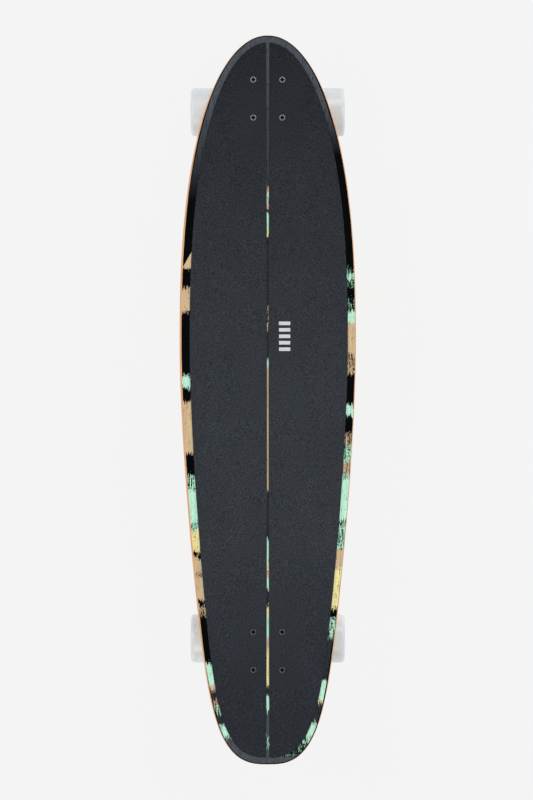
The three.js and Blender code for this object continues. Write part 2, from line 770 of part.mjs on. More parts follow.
function axleNut(name) {
  const blank = hexagon(axleNutX, axleNutX + AXLE.nutLength, AXLE.nutWidth);
  const boreEnd = axleNutX + AXLE.nutLength + OVERRUN;
  const bore = turned(rodProfile(axleNutX - OVERRUN, boreEnd, boreFor(AXLE.diameter / 2)), MEDIUM);
  return piece(name, alongX(combine(blank, [], [bore])), STEEL);
}

// The tyre's flats: one of them lies on the ground, so their corners stand a little further out.
function tyre(name) {
  const toCorner = 1 / Math.cos(Math.PI / FINE);
  const radius = wheelRadius * toCorner;
  const inner = wheelMiddleX - WHEEL.width / 2;
  const outer = wheelMiddleX + WHEEL.width / 2;
  const coreRadius = boreFor(WHEEL.coreDiameter / 2, FINE);
  const mouth = WHEEL.mouthDiameter / 2;
  const lipCut = WHEEL.lip * (1 - Math.SQRT1_2);
  const profile = [
    [coreMiddleX - coreHalfWidth, coreRadius],
    [inner, mouth],
    [inner, radius - WHEEL.lip],
    [inner + lipCut, radius - lipCut],
    [inner + WHEEL.lip, radius],
    [outer - WHEEL.lip, radius],
    [outer - lipCut, radius - lipCut],
    [outer, radius - WHEEL.lip],
    [outer, mouth],
    [coreMiddleX + coreHalfWidth, coreRadius],
    [coreMiddleX - coreHalfWidth, coreRadius],
  ];
  return piece(name, alongX(turned(profile, FINE)).rotateX(Math.PI / FINE), TYRE_URETHANE);
}

// A tube with a seat for a bearing in each end and a shoulder between them.
function core(name) {
  const seat = boreFor(BEARING.outer / 2);
  const shoulder = BEARING.outer / 2 - BEARING.shoulder;
  const from = coreMiddleX - coreHalfWidth;
  const to = coreMiddleX + coreHalfWidth;
  const shoulderFrom = coreMiddleX - BEARING.spacing / 2 + GAP;
  const shoulderTo = coreMiddleX + BEARING.spacing / 2 - GAP;
  const profile = [
    [from, seat],
    [from, WHEEL.coreDiameter / 2],
    [to, WHEEL.coreDiameter / 2],
    [to, seat],
    [shoulderTo, seat],
    [shoulderTo, shoulder],
    [shoulderFrom, shoulder],
    [shoulderFrom, seat],
    [from, seat],
  ];
  return piece(name, alongX(turned(profile, MEDIUM)), CORE_PLASTIC);
}

function bearing(name, from) {
  const bore = boreFor(AXLE.diameter / 2);
  const profile = ringProfile(from, from + BEARING.width, bore, BEARING.outer / 2);
  return piece(name, alongX(turned(profile, MEDIUM)), STEEL);
}

function spacer(name) {
  const half = BEARING.spacing / 2 - GAP;
  const bore = boreFor(AXLE.diameter / 2);
  const profile = ringProfile(coreMiddleX - half, coreMiddleX + half, bore, bore + BEARING.spacerWall);
  return piece(name, alongX(turned(profile, MEDIUM)), STEEL);
}

// One wheel with what holds it on the axle, drawn on the +X side.
function wheelPieces(wheelName) {
  return [
    tyre(`${wheelName}_tyre`),
    core(`${wheelName}_core`),
    bearing(`${wheelName}_inner_bearing`, innerBearingX),
    bearing(`${wheelName}_outer_bearing`, coreMiddleX + BEARING.spacing / 2),
    spacer(`${wheelName}_spacer`),
    axleNut(`${wheelName}_axle_nut`),
  ];
}

// ---------------------------------------------------------------- assembly

// The axle and its wheels, level with the ground: the truck frame's directions, at the axle.
function axleGroup(truckName, facing) {
  const group = new THREE.Group();
  group.position.set(0, TRUCK.axleReach, -TRUCK.axleRake);
  group.rotation.x = -TRUCK.steeringAngle;
  group.add(axle(truckName));
  for (const side of [1, -1]) {
    const wheelName = `${truckName}_${side * facing > 0 ? 'right' : 'left'}`;
    const wheel = new THREE.Group();
    wheel.rotation.z = side > 0 ? 0 : Math.PI;
    wheel.add(...wheelPieces(wheelName));
    group.add(wheel);
  }
  return group;
}

// A whole truck. Facing is 1 when outboard is the nose and -1 when outboard is the tail.
function truck(truckName, boltsY, facing) {
  const steering = new THREE.Group();
  steering.position.set(0, pivotY, pivotZ);
  steering.rotation.x = TRUCK.steeringAngle;
  steering.add(pivotCup(truckName), ...kingpinStack(truckName), hanger(truckName));
  steering.add(axleGroup(truckName, facing));

  const group = new THREE.Group();
  group.position.set(0, boltsY, baseplateTopZ);
  group.rotation.z = facing > 0 ? 0 : Math.PI;
  group.add(riser(truckName), baseplate(truckName), steering);
  return group;
}

const skateboard = new THREE.Group();
skateboard.add(deck(), gripSheet('grip_left', -1), gripSheet('grip_right', 1));
skateboard.add(...boltPlaces().map(deckBolt));
skateboard.add(truck('front', frontBoltsY, 1), truck('rear', rearBoltsY, -1));

export default skateboard;
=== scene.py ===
import math

import bmesh
import bpy
from mathutils import Matrix, Vector


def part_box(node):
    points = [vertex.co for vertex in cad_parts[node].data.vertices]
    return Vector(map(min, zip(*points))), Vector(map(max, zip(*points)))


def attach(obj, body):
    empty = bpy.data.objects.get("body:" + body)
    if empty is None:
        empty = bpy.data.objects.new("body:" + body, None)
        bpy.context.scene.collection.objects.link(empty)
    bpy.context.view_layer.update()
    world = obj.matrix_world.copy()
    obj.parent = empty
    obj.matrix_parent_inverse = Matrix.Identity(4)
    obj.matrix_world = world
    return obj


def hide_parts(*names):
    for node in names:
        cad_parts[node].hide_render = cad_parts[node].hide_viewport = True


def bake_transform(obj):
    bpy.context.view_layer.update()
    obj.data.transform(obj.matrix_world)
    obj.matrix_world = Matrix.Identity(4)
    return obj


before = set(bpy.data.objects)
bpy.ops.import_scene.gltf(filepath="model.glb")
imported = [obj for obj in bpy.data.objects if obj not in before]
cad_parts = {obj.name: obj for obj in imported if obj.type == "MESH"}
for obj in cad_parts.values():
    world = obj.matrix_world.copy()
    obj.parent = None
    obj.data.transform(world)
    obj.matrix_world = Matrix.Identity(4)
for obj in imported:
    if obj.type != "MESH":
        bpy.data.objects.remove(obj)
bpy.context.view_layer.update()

# ---------------------------------------------------------------- sizes

deck_low, deck_high = [Vector(corner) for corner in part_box("deck")]
HALF_LENGTH = deck_high.y
HALF_WIDTH = deck_high.x
# Powers of the outline's curves: the nose is a superellipse, and the tail is one that also tapers.
NOSE_FULLNESS = 2.505
NOSE_ROUNDNESS = 0.481
TAIL_TAPER = 0.414
TAIL_TAPER_POWER = 1.6
TAIL_FULLNESS = 12.95
TAIL_ROUNDNESS = 0.3585
THICKNESS = 0.011
NOSE_TO_WIDEST = 0.440
WIDEST_Y = HALF_LENGTH - NOSE_TO_WIDEST
TRUCK_FLAT = 0.048
CAMBER = 0.008
NOSE_RISE = 0.009
KICK_SLOPE = 0.3
KICK_BEND = 0.045
CONCAVE = 0.007
FLAT_STRIP = 0.064
TOP_RAIL = 0.0024
BOTTOM_RAIL = 0.0036
SHEET_LIFT = 0.00003  # the sheet is drawn just clear of the board, so the two never coincide
GRIP_SHEET = 0.0010
SHEET_END = 0.985  # how far the sheets reach towards each tip, where 1 is the tip itself
HALF_GAP = 0.00120  # half the gap between the sheets at mid-board
HALF_GAP_GROWTH = 0.00115  # what each half of the gap has gained at the tips
RIM_AT_ENDS = 0.0101  # bare rim outside the sheets
RIM_GROWTH = 0.0029
RIM_LEAN = 0.0014  # how much wider the rim is on the left than midway, and narrower on the right


def middle(node):
    low, high = [Vector(corner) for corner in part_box(node)]
    return (low + high) / 2


BOLTS = [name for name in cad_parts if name.endswith("_bolt")]


def bolts_y(truck):
    places = [middle(name).y for name in BOLTS if name.startswith(truck)]
    return sum(places) / len(places)


FRONT_BOLTS_Y = bolts_y("front")
REAR_BOLTS_Y = bolts_y("rear")
BASEPLATE_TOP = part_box("front_baseplate")[1][2]
DECK_SEAT = deck_low.z
DECK_TOP = DECK_SEAT + THICKNESS

BOLT_HEAD_RADIUS = 0.00465
BOLT_RADIUS = 0.00238
BOLT_RIM = 0.0004
BOLT_NUT_HEIGHT = 0.0062
BOLT_NUT_FLATS = 0.0095
THREAD_DEPTH = 0.45  # of the pitch
HEAD_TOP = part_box(BOLTS[0])[1][2]
HEAD_CONE = (BOLT_HEAD_RADIUS - BOLT_RADIUS) / math.tan(math.radians(41))

# The truck: places along the steering axis from the pivot ball, and above it on the deck's side.
STEERING_ANGLE = math.radians(50)
AXLE_REACH = 0.014
AXLE_RAKE = 0.008
KINGPIN_REACH = 0.040
# The pivot ball, from the top of the baseplate between the bolts.
PIVOT = Vector((
    0,
    middle("front_axle").y - FRONT_BOLTS_Y - AXLE_REACH * math.cos(STEERING_ANGLE)
    - AXLE_RAKE * math.sin(STEERING_ANGLE),
    middle("front_axle").z - BASEPLATE_TOP - AXLE_REACH * math.sin(STEERING_ANGLE)
    + AXLE_RAKE * math.cos(STEERING_ANGLE),
))
HANGER_END = 0.075
CORE_MIDDLE = 0.088
CORE_HALF = 0.012
WHEEL_MIDDLE = 0.0905
WHEEL_RADIUS = 0.035
WHEEL_HALF_WIDTH = 0.021
AXLE_HALF_LENGTH = 0.109


# ---------------------------------------------------------------- mesh helpers

def object_from(name, vertices, faces, smooth=True):
    mesh = bpy.data.meshes.new(name)
    mesh.from_pydata([tuple(v) for v in vertices], [], faces)
    mesh.validate()
    mesh.shade_smooth() if smooth else mesh.shade_flat()
    obj = bpy.data.objects.new(name, mesh)
    bpy.context.scene.collection.objects.link(obj)
    return obj


def lathe(name, profile, segments=64, closed=False):
    """Turns [along, radius] pairs around the X axis. A closed profile is a ring's section."""
    vertices = []
    rings = []
    for along, radius in profile:
        if radius < 1e-9:
            rings.append([len(vertices)] * segments)
            vertices.append((along, 0, 0))
            continue
        rings.append(list(range(len(vertices), len(vertices) + segments)))
        for i in range(segments):
            angle = 2 * math.pi * i / segments
            vertices.append((along, radius * math.cos(angle), radius * math.sin(angle)))
    pairs = list(zip(rings, rings[1:] + rings[:1] if closed else rings[1:]))
    faces = []
    for first, second in pairs:
        for i in range(segments):
            j = (i + 1) % segments
            corners = [first[i], first[j], second[j], second[i]]
            face = list(dict.fromkeys(corners))
            if len(face) > 2:
                faces.append(face)
    obj = object_from(name, vertices, faces)
    face_outward(obj)
    return obj


def prism(name, outline, low, high):
    """Extrudes a closed outline of (x, y) corners from one height to another."""
    count = len(outline)
    vertices = [(x, y, low) for x, y in outline] + [(x, y, high) for x, y in outline]
    faces = [list(range(count))[::-1], [count + i for i in range(count)]]
    for i in range(count):
        j = (i + 1) % count
        faces.append([i, j, count + j, count + i])
    obj = object_from(name, vertices, faces)
    face_outward(obj)
    return obj


def face_outward(obj):
    work = bmesh.new()
    work.from_mesh(obj.data)
    bmesh.ops.remove_doubles(work, verts=work.verts, dist=1e-7)
    bmesh.ops.recalc_face_normals(work, faces=work.faces)
    work.to_mesh(obj.data)
    work.free()


def with_modifiers(obj):
    """Applies the object's modifiers to its mesh."""
    bpy.context.view_layer.update()
    evaluated = obj.evaluated_get(bpy.context.evaluated_depsgraph_get())
    mesh = bpy.data.meshes.new_from_object(evaluated)
    obj.modifiers.clear()
    old = obj.data
    obj.data = mesh
    bpy.data.meshes.remove(old)
    return obj


def delete(objects):
    for obj in objects:
        mesh = obj.data
        bpy.data.objects.remove(obj)
        bpy.data.meshes.remove(mesh)


def shaft(low, high, radius, segments=32):
    """A plain cylinder along X, for cutting with."""
    return lathe("Cutter", [(low, 0), (low, radius), (high, radius), (high, 0)], segments)


def cut(obj, cutters, operation="DIFFERENCE"):
    for cutter in cutters:
        modifier = obj.modifiers.new("Cut", "BOOLEAN")
        modifier.operation = operation
        modifier.solver = "EXACT"
        modifier.object = cutter
    with_modifiers(obj)
    delete(cutters)
    return obj


def join(name, parts):
    """Copies the parts' faces into one new object."""
    vertices = []
    faces = []
    for part in parts:
        start = len(vertices)
        vertices += [part.matrix_world @ v.co for v in part.data.vertices]
        faces += [[start + i for i in polygon.vertices] for polygon in part.data.polygons]
    delete(parts)
    return object_from(name, vertices, faces)


def moved(obj, matrix):
    obj.data.transform(matrix)
    return obj


def soft_edges(obj, width, segments=3, angle=30):
    """Rounds the sharp edges, and keeps the flat faces flat."""
    modifier = obj.modifiers.new("Round", "BEVEL")
    modifier.width = width
    modifier.segments = segments
    modifier.limit_method = "ANGLE"
    modifier.angle_limit = math.radians(angle)
    modifier.harden_normals = True
    obj.data.shade_smooth()
    with_modifiers(obj)
    return obj


def sharp_by_angle(obj, angle=32):
    obj.data.shade_smooth()
    obj.data.set_sharp_from_angle(angle=math.radians(angle))
    return obj


def sharp_ring(name, section, segments=48, angle=35):
    """A closed half section turned into a ring, with its corners kept sharp."""
    return sharp_by_angle(lathe(name, section, segments, closed=True), angle)


def cast(name, parts, voxel, rounds):
    """Melts overlapping closed parts into one casting with soft inner corners."""
    obj = join(name, parts)
    remesh = obj.modifiers.new("Melt", "REMESH")
    remesh.mode = "VOXEL"
    remesh.voxel_size = voxel
    smooth = obj.modifiers.new("Soften", "SMOOTH")
    smooth.factor = 0.5
    smooth.iterations = rounds
    with_modifiers(obj)
    obj.data.shade_smooth()
    return obj


def arc(centre, radius, start, end, steps):
    """Points on an arc, as (along, across) pairs; angles in degrees."""
    points = []
    for i in range(steps + 1):
        angle = math.radians(start + (end - start) * i / steps)
        points.append((centre[0] + radius * math.cos(angle), centre[1] + radius * math.sin(angle)))
    return points


def rounded_rectangle(left, right, bottom, top, radius, steps=8):
    corners = arc((right - radius, top - radius), radius, 0, 90, steps)
    corners += arc((left + radius, top - radius), radius, 90, 180, steps)
    corners += arc((left + radius, bottom + radius), radius, 180, 270, steps)
    corners += arc((right - radius, bottom + radius), radius, 270, 360, steps)
    return corners


X_TO_Y = Matrix.Rotation(math.pi / 2, 4, "Z")
X_TO_Z = Matrix.Rotation(-math.pi / 2, 4, "Y")


# ---------------------------------------------------------------- materials

def linear(red, green, blue):
    """A colour as seen on a screen, from 0 to 255, as a shader colour."""
    shares = []
    for value in (red, green, blue):
        v = value / 255
        shares.append(v / 12.92 if v <= 0.04045 else ((v + 0.055) / 1.055) ** 2.4)
    return (*shares, 1.0)


class Surface:
    """One material and the short calls that build its nodes."""

    def __init__(self, name, **values):
        self.material = bpy.data.materials.new(name)
        self.material.use_nodes = True
        self.tree = self.material.node_tree
        self.shader = next(n for n in self.tree.nodes if n.type == "BSDF_PRINCIPLED")
        for socket, value in values.items():
            self.shader.inputs[socket.replace("_", " ")].default_value = value

    def node(self, kind, inputs=(), **settings):
        node = self.tree.nodes.new(kind)
        for name, value in settings.items():
            setattr(node, name, value)
        for key, value in dict(inputs).items():
            self.feed(node.inputs[key], value)
        return node

    def feed(self, socket, value):
        if isinstance(value, bpy.types.NodeSocket):
            self.tree.links.new(value, socket)
        else:
            socket.default_value = value

    def place(self):
        return self.node("ShaderNodeTexCoord").outputs["Object"]

    def stretched(self, x, y, z):
        """The place on the object, scaled along each axis."""
        scale = self.node("ShaderNodeVectorMath", {0: self.place(), 1: (x, y, z)}, operation="MULTIPLY")
        return scale.outputs[0]

    def axis(self, letter):
        split = self.node("ShaderNodeSeparateXYZ", {0: self.place()})
        return split.outputs[letter]

    def noise(self, vector, scale=1.0, detail=2.0, roughness=0.5):
        inputs = {"Vector": vector, "Scale": scale, "Detail": detail, "Roughness": roughness}
        return self.node("ShaderNodeTexNoise", inputs).outputs[0]

    def math(self, operation, first, second=0.0):
        return self.node("ShaderNodeMath", {0: first, 1: second}, operation=operation).outputs[0]

    def plus(self, first, second):
        return self.math("ADD", first, second)

    def minus(self, first, second):
        return self.math("SUBTRACT", first, second)

    def times(self, first, second):
        return self.math("MULTIPLY", first, second)

    def over(self, first, second):
        return self.math("DIVIDE", first, second)

    def above(self, first, second):
        return self.math("GREATER_THAN", first, second)

    def below(self, first, second):
        return self.math("LESS_THAN", first, second)

    def around_zero(self, noise, size):
        """Noise shifted to swing either way from zero, over the size in all."""
        return self.times(self.minus(noise, 0.5), size)

    def shaded(self, colour, shade):
        """The colour made darker or lighter by a grey factor around 1."""
        return self.mix(1.0, colour, self.grey(shade), "MULTIPLY")

    def between(self, value, low, high, to_low=0.0, to_high=1.0):
        inputs = {0: value, 1: low, 2: high, 3: to_low, 4: to_high}
        return self.node("ShaderNodeMapRange", inputs, clamp=True).outputs[0]

    def mix(self, share, first, second, blend="MIX"):
        node = self.node("ShaderNodeMix", data_type="RGBA", blend_type=blend)
        self.feed(node.inputs[0], share)
        self.feed(node.inputs[6], first)
        self.feed(node.inputs[7], second)
        return node.outputs[2]

    def ramp(self, share, stops, interpolation="LINEAR"):
        """A colour for each share; stops are (share, colour) pairs in order."""
        node = self.node("ShaderNodeValToRGB", {0: share})
        node.color_ramp.interpolation = interpolation
        elements = node.color_ramp.elements
        elements[0].position, elements[0].color = stops[0]
        elements[1].position, elements[1].color = stops[1]
        for position, colour in stops[2:]:
            elements.new(position).color = colour
        return node.outputs[0], node.outputs[1]

    def curve(self, share, points):
        """A value for each share, along straight lines between (share, value) points."""
        top = max(value for _, value in points)
        stops = [(place, (value / top, value / top, value / top, 1.0)) for place, value in points]
        return self.times(self.ramp(share, stops)[0], top)

    def grey(self, value):
        return self.node("ShaderNodeCombineColor", {0: value, 1: value, 2: value}).outputs[0]

    def colour(self, value):
        self.feed(self.shader.inputs["Base Color"], value)

    def roughness(self, value):
        self.feed(self.shader.inputs["Roughness"], value)

    def bump(self, height, distance, strength=1.0):
        inputs = {"Height": height, "Distance": distance, "Strength": strength}
        self.feed(self.shader.inputs["Normal"], self.node("ShaderNodeBump", inputs).outputs[0])


# The print's inks, and the bare veneer that shows between them. The last share of each says how
# much black shows through in dry strokes.
INK = {
    "black": (*linear(1, 3, 5)[:3], 0.0),
    # The grey is painted reflection: the sheen of the glossy black print towards both ends of the board,
    # put in as a colour.
    "grey": (*linear(80, 86, 93)[:3], 0.25),
    "dark": (*linear(48, 52, 56)[:3], 0.3),
    "tan": (*linear(216, 189, 150)[:3], 0.1),
    "tan_dry": (*linear(214, 184, 148)[:3], 0.65),
    "pink": (*linear(222, 188, 162)[:3], 0.2),
    "mint": (*linear(197, 249, 222)[:3], 0.1),
    "mint_dry": (*linear(190, 246, 216)[:3], 0.65),
    "mint_sparse": (*linear(180, 240, 208)[:3], 0.95),
    "yellow": (*linear(248, 236, 166)[:3], 0.2),
    "cream": (*linear(234, 229, 204)[:3], 0.3),
}

# Where each ink starts, in millimetres from the nose tip, on the left rim, the right rim and
# between the two grip sheets.
LEFT_BANDS = [
    (0, "grey"), (236, "black"), (357, "tan"), (392, "black"), (484, "mint"), (499, "black"),
    (521, "tan"), (592, "black"), (626, "mint_dry"), (645, "mint"), (690, "mint_dry"),
    (700, "yellow"), (733, "black"), (742, "tan"), (763, "tan_dry"), (772, "tan"), (802, "black"),
    (812, "tan_dry"), (824, "black"), (893, "mint"), (923, "pink"), (932, "dark"), (944, "tan_dry"),
    (954, "mint_dry"), (965, "dark"), (979, "mint"), (998, "grey"),
]
RIGHT_BANDS = [
    (0, "grey"), (170, "black"), (328, "mint_sparse"), (336, "mint_dry"), (346, "mint_sparse"),
    (358, "black"), (373, "mint_sparse"), (392, "mint"), (408, "tan"), (450, "tan_dry"),
    (478, "black"), (524, "mint"), (541, "black"), (562, "tan_dry"), (582, "mint_dry"),
    (606, "tan_dry"), (620, "mint_dry"), (630, "mint"), (686, "mint_dry"), (729, "tan"),
    (760, "yellow"), (814, "black"), (826, "mint_dry"), (857, "dark"), (917, "mint"), (943, "tan"),
    (950, "dark"), (975, "mint"), (994, "mint_dry"), (1006, "mint_sparse"), (1022, "grey"),
]
MIDDLE_BANDS = [
    (0, "grey"), (211, "pink"), (222, "mint"), (234, "pink"), (244, "dark"), (254, "mint"),
    (272, "yellow"), (287, "dark"), (388, "tan_dry"), (417, "dark"), (457, "mint"), (472, "tan"),
    (600, "tan_dry"), (604, "tan"), (646, "dark"), (713, "mint"), (745, "cream"), (760, "pink"),
    (772, "mint"), (788, "dark"), (810, "yellow"), (826, "mint"), (856, "pink"), (872, "yellow"),
    (922, "dark"), (936, "mint"), (962, "grey"), (992, "mint_dry"), (1010, "grey"),
]


# How far the bands' starts stray along the board, from three sizes of noise, and how far the edge
# of the print wavers.
TEETH = 0.026
HAIRS = 0.012
DRIFT = 0.006
PRINT_WAVER = 0.0005

# Shares of the board's thickness: the print is on what lies above the first, and the clear maple
# below the second.
PRINT_FLOOR = 0.86
UNDERSIDE = 0.04

# Part of the print shows between the two grip sheets: half its width, and where it stops short of
# each tip.
STRIPE_HALF = 0.004
STRIPE_MARGIN = 0.013

# Where the grey at the nose, a painted reflection on the black print, starts to fade to black and where
# it is black, from the nose tip.
# The darkening is off beyond the first place of FADE_END and full before the second.
FADE_LEFT = (0.10, 0.235)
FADE_RIGHT = (0.09, 0.170)
FADE_END = (0.27, 0.25)

# The wedge: where it ends, the inset where its slanted start meets that end, and the slant's run
# along the board for each unit of inset.
WEDGE_END = 0.331
WEDGE_INSET = 0.0022
WEDGE_SLANT = 1.95

# Width of the bare wood outside the print, and of the black line that borders the print near the
# ends of the board: (millimetres from the nose tip, millimetres wide).
BARE_LEFT = [(0, 0.3), (40, 0.8), (110, 1.7), (300, 2.7), (800, 2.7), (930, 2.0), (1035, 0.5)]
BARE_RIGHT = [(0, 0.3), (40, 0.5), (110, 1.4), (300, 1.2), (700, 1.2), (800, 1.5), (930, 1.0),
              (1035, 0.5)]
LINE_LEFT = [(0, 1.5), (160, 2.2), (250, 0.0), (890, 0.0), (940, 1.6), (1035, 1.5)]
LINE_RIGHT = [(0, 1.5), (110, 2.6), (180, 0.0), (850, 0.0), (870, 2.4), (1035, 1.5)]


def print_material():
    """Printed veneer on top, bare plies on the edge and clear maple below."""
    s = Surface("Deck_print_and_plies", Specular_IOR_Level=0.05)
    length = 2 * HALF_LENGTH
    from_nose = s.minus(HALF_LENGTH, s.axis("Y"))
    across = s.axis("X")
    on_right = s.above(across, 0.0)
    edge = s.node("ShaderNodeSeparateXYZ", {0: s.node("ShaderNodeUVMap", uv_map="Edge").outputs[0]})
    inset, height = edge.outputs[0], edge.outputs[1]

    # Ragged starts to the bands: short teeth, hairs and a slow drift, all drawn out lengthwise.
    teeth = s.noise(s.stretched(560, 60, 1), detail=3.0, roughness=0.7)
    hairs = s.noise(s.stretched(1300, 260, 1), detail=2.0, roughness=0.6)
    drift = s.noise(s.stretched(60, 30, 1), detail=1.0)
    ragged = s.around_zero(teeth, TEETH)
    ragged = s.plus(ragged, s.around_zero(hairs, HAIRS))
    ragged = s.plus(ragged, s.around_zero(drift, DRIFT))

    share = s.over(s.plus(from_nose, ragged), length)

    strokes = s.noise(s.stretched(900, 55, 1), detail=2.0, roughness=0.6)
    flecks = s.noise(s.stretched(1200, 340, 1), detail=2.0, roughness=0.6)
    wear = s.plus(s.times(strokes, 0.55), s.times(flecks, 0.45))
    inks = []
    for bands in (LEFT_BANDS, RIGHT_BANDS, MIDDLE_BANDS):
        stops = [(start / 1000 / length, INK[ink]) for start, ink in bands]
        colour, dryness = s.ramp(share, stops, "CONSTANT")
        dry = s.plus(wear, s.times(dryness, 0.20))
        inks.append(s.mix(s.between(dry, 0.615, 0.65), colour, INK["black"]))
    rim = s.mix(on_right, inks[0], inks[1])

    # One tan wedge on the left starts on a clean slant, earlier beside the grip than at the edge.
    slant = s.times(s.minus(inset, WEDGE_INSET), WEDGE_SLANT)
    in_wedge = s.above(s.plus(from_nose, slant), WEDGE_END)
    in_wedge = s.times(in_wedge, s.below(s.plus(from_nose, ragged), WEDGE_END))
    in_wedge = s.times(in_wedge, s.minus(1.0, on_right))
    rim = s.mix(in_wedge, rim, INK["tan"])

    off_middle = s.above(s.math("ABSOLUTE", across), STRIPE_HALF)
    near_tip = s.below(s.math("ABSOLUTE", s.axis("Y")), HALF_LENGTH - STRIPE_MARGIN)
    in_middle = s.times(near_tip, s.minus(1.0, off_middle))
    top = s.mix(in_middle, rim, inks[2])

    # The grey at the nose is a painted reflection on the black print; it fades to black towards the
    # middle of the board, sooner on the right.
    reflection_fade_right = s.between(from_nose, *FADE_RIGHT)
    reflection_fade_left = s.between(from_nose, *FADE_LEFT)
    reflection_fade = s.times(s.mix(on_right, reflection_fade_left, reflection_fade_right), s.between(from_nose, *FADE_END))
    reflection_fade = s.times(reflection_fade, s.minus(1.0, in_middle))
    top = s.mix(reflection_fade, top, INK["black"])
    # The painted reflection on the middle stripe, grey at the nose, dims towards black further along the
    # board.
    stripe_reflection_dim = s.times(in_middle, s.between(from_nose, 0.03, 0.21, 0.0, 0.40))
    top = s.mix(s.times(stripe_reflection_dim, s.between(from_nose, 0.222, 0.212)), top, INK["black"])
    lengthwise = s.noise(s.stretched(420, 14, 1), detail=3.0)
    top = s.shaded(top, s.between(lengthwise, 0.3, 0.7, 0.84, 1.10))

    # The plies on the edge, between thin glue lines.
    orange = linear(236, 178, 128)
    amber = linear(216, 142, 84)
    pale = linear(242, 198, 154)
    plies, _ = s.ramp(
        height,
        [(0.0, pale), (0.14, amber), (0.17, orange), (0.31, amber), (0.34, pale), (0.47, amber),
         (0.50, orange), (0.63, amber), (0.66, pale), (0.80, amber), (0.83, orange)],
        "CONSTANT",
    )
    grain = s.between(s.noise(s.stretched(40, 9, 900), detail=3.0), 0.35, 0.7, 0.86, 1.05)
    plies = s.shaded(plies, grain)

    # Clear maple on the underside: long grain with darker pores.
    figure = s.noise(s.stretched(50, 2.2, 1), detail=6.0, roughness=0.62)
    pores = s.noise(s.stretched(900, 26, 1), detail=2.0)
    maple, _ = s.ramp(
        figure,
        [(0.30, linear(206, 160, 112)), (0.47, linear(222, 180, 132)), (0.62, linear(236, 200, 156)),
         (0.75, linear(214, 170, 122))],
    )
    maple = s.mix(s.between(pores, 0.60, 0.74, 0.0, 0.30), maple, linear(150, 104, 66))
    wood = s.mix(s.below(height, UNDERSIDE), plies, maple)

    along = s.over(from_nose, length)
    widths = []
    for points in (BARE_LEFT, BARE_RIGHT, LINE_LEFT, LINE_RIGHT):
        widths.append(s.curve(along, [(place / 1000 / length, width / 1000) for place, width in points]))
    waver = s.around_zero(s.noise(s.stretched(90, 90, 1)), PRINT_WAVER)
    print_edge = s.plus(s.mix(on_right, widths[0], widths[1]), waver)
    line_edge = s.plus(print_edge, s.mix(on_right, widths[2], widths[3]))
    top = s.mix(s.above(inset, line_edge), INK["black"], top)
    printed = s.above(height, PRINT_FLOOR)
    printed = s.times(printed, s.above(inset, print_edge))
    s.colour(s.mix(printed, wood, top))
    s.roughness(s.between(strokes, 0.2, 0.8, 0.36, 0.54))
    relief = s.plus(s.times(pores, 0.4), s.times(strokes, 0.6))
    s.bump(relief, 0.00006)
    return s.material


def grip_material(name, marked):
    """Black grit on paper. The right sheet carries a small row of plain pale bars."""
    s = Surface(name, Roughness=0.95, Specular_IOR_Level=0.12)
    from_tail = s.between(s.axis("Y"), -HALF_LENGTH, HALF_LENGTH)
    # Painted shade: the grit is made lighter in the middle of the board and darker towards the tail and
    # the nose, where less light falls.
    tone, _ = s.ramp(
        from_tail,
        [(0.04, linear(43, 47, 53)), (0.20, linear(49, 53, 59)), (0.31, linear(54, 58, 63)),
         (0.53, linear(53, 57, 62)), (0.68, linear(49, 52, 57)), (0.88, linear(42, 45, 50)),
         (0.98, linear(37, 40, 44))],
    )
    coarse = s.noise(s.stretched(640, 640, 640), detail=2.0, roughness=0.6)
    fine = s.noise(s.stretched(1500, 1500, 1500), detail=2.0, roughness=0.7)
    dust = s.noise(s.stretched(26, 14, 20), detail=3.0)
    level = s.plus(s.times(coarse, 0.75), s.times(fine, 0.25))
    speckle = s.between(level, 0.36, 0.64, 0.38, 1.62)
    speckle = s.times(speckle, s.between(dust, 0.3, 0.7, 0.95, 1.06))
    colour = s.shaded(tone, speckle)
    glint = s.between(fine, 0.70, 0.76, 0.0, 0.35)
    colour = s.mix(glint, colour, linear(120, 124, 130))
    if marked:
        colour = s.mix(bars_mask(s), colour, linear(214, 218, 220))
    s.colour(colour)
    grit = s.plus(s.times(coarse, 0.3), fine)
    s.bump(grit, 0.00035, 0.8)
    return s.material


MARK_MIDDLE = Vector((0.0240, HALF_LENGTH - 0.426))
MARK_LENGTH = 0.046
MARK_WIDTH = 0.016
MARK_BARS = 5


def bars_mask(s):
    """1 on the bars of the mark, 0 off them."""
    across = s.math("ABSOLUTE", s.minus(s.axis("X"), MARK_MIDDLE.x))
    along = s.minus(s.axis("Y"), MARK_MIDDLE.y)
    within_x = s.below(across, MARK_WIDTH / 2)
    within_y = s.below(s.math("ABSOLUTE", along), MARK_LENGTH / 2)
    pitch = MARK_LENGTH / MARK_BARS
    phase = s.math("FRACT", s.over(s.plus(along, MARK_LENGTH / 2), pitch))
    on_bar = s.below(phase, 0.55)
    return s.times(s.times(within_x, within_y), on_bar)


def metal_material(name, colour, roughness, grain_scale, grain_depth, spread=0.08, metallic=1.0):
    """Metal with fine grain, faint tone changes and handling marks."""
    s = Surface(name, Metallic=metallic)
    tone = s.noise(s.stretched(60, 60, 60), detail=4.0, roughness=0.6)
    grain = s.noise(s.stretched(grain_scale, grain_scale, grain_scale), detail=3.0, roughness=0.6)
    shade = s.between(tone, 0.3, 0.7, 1 - spread, 1 + spread)
    s.colour(s.shaded(colour, shade))
    s.roughness(s.between(grain, 0.3, 0.7, roughness - 0.07, roughness + 0.07))
    s.bump(grain, grain_depth, 0.7)
    return s.material


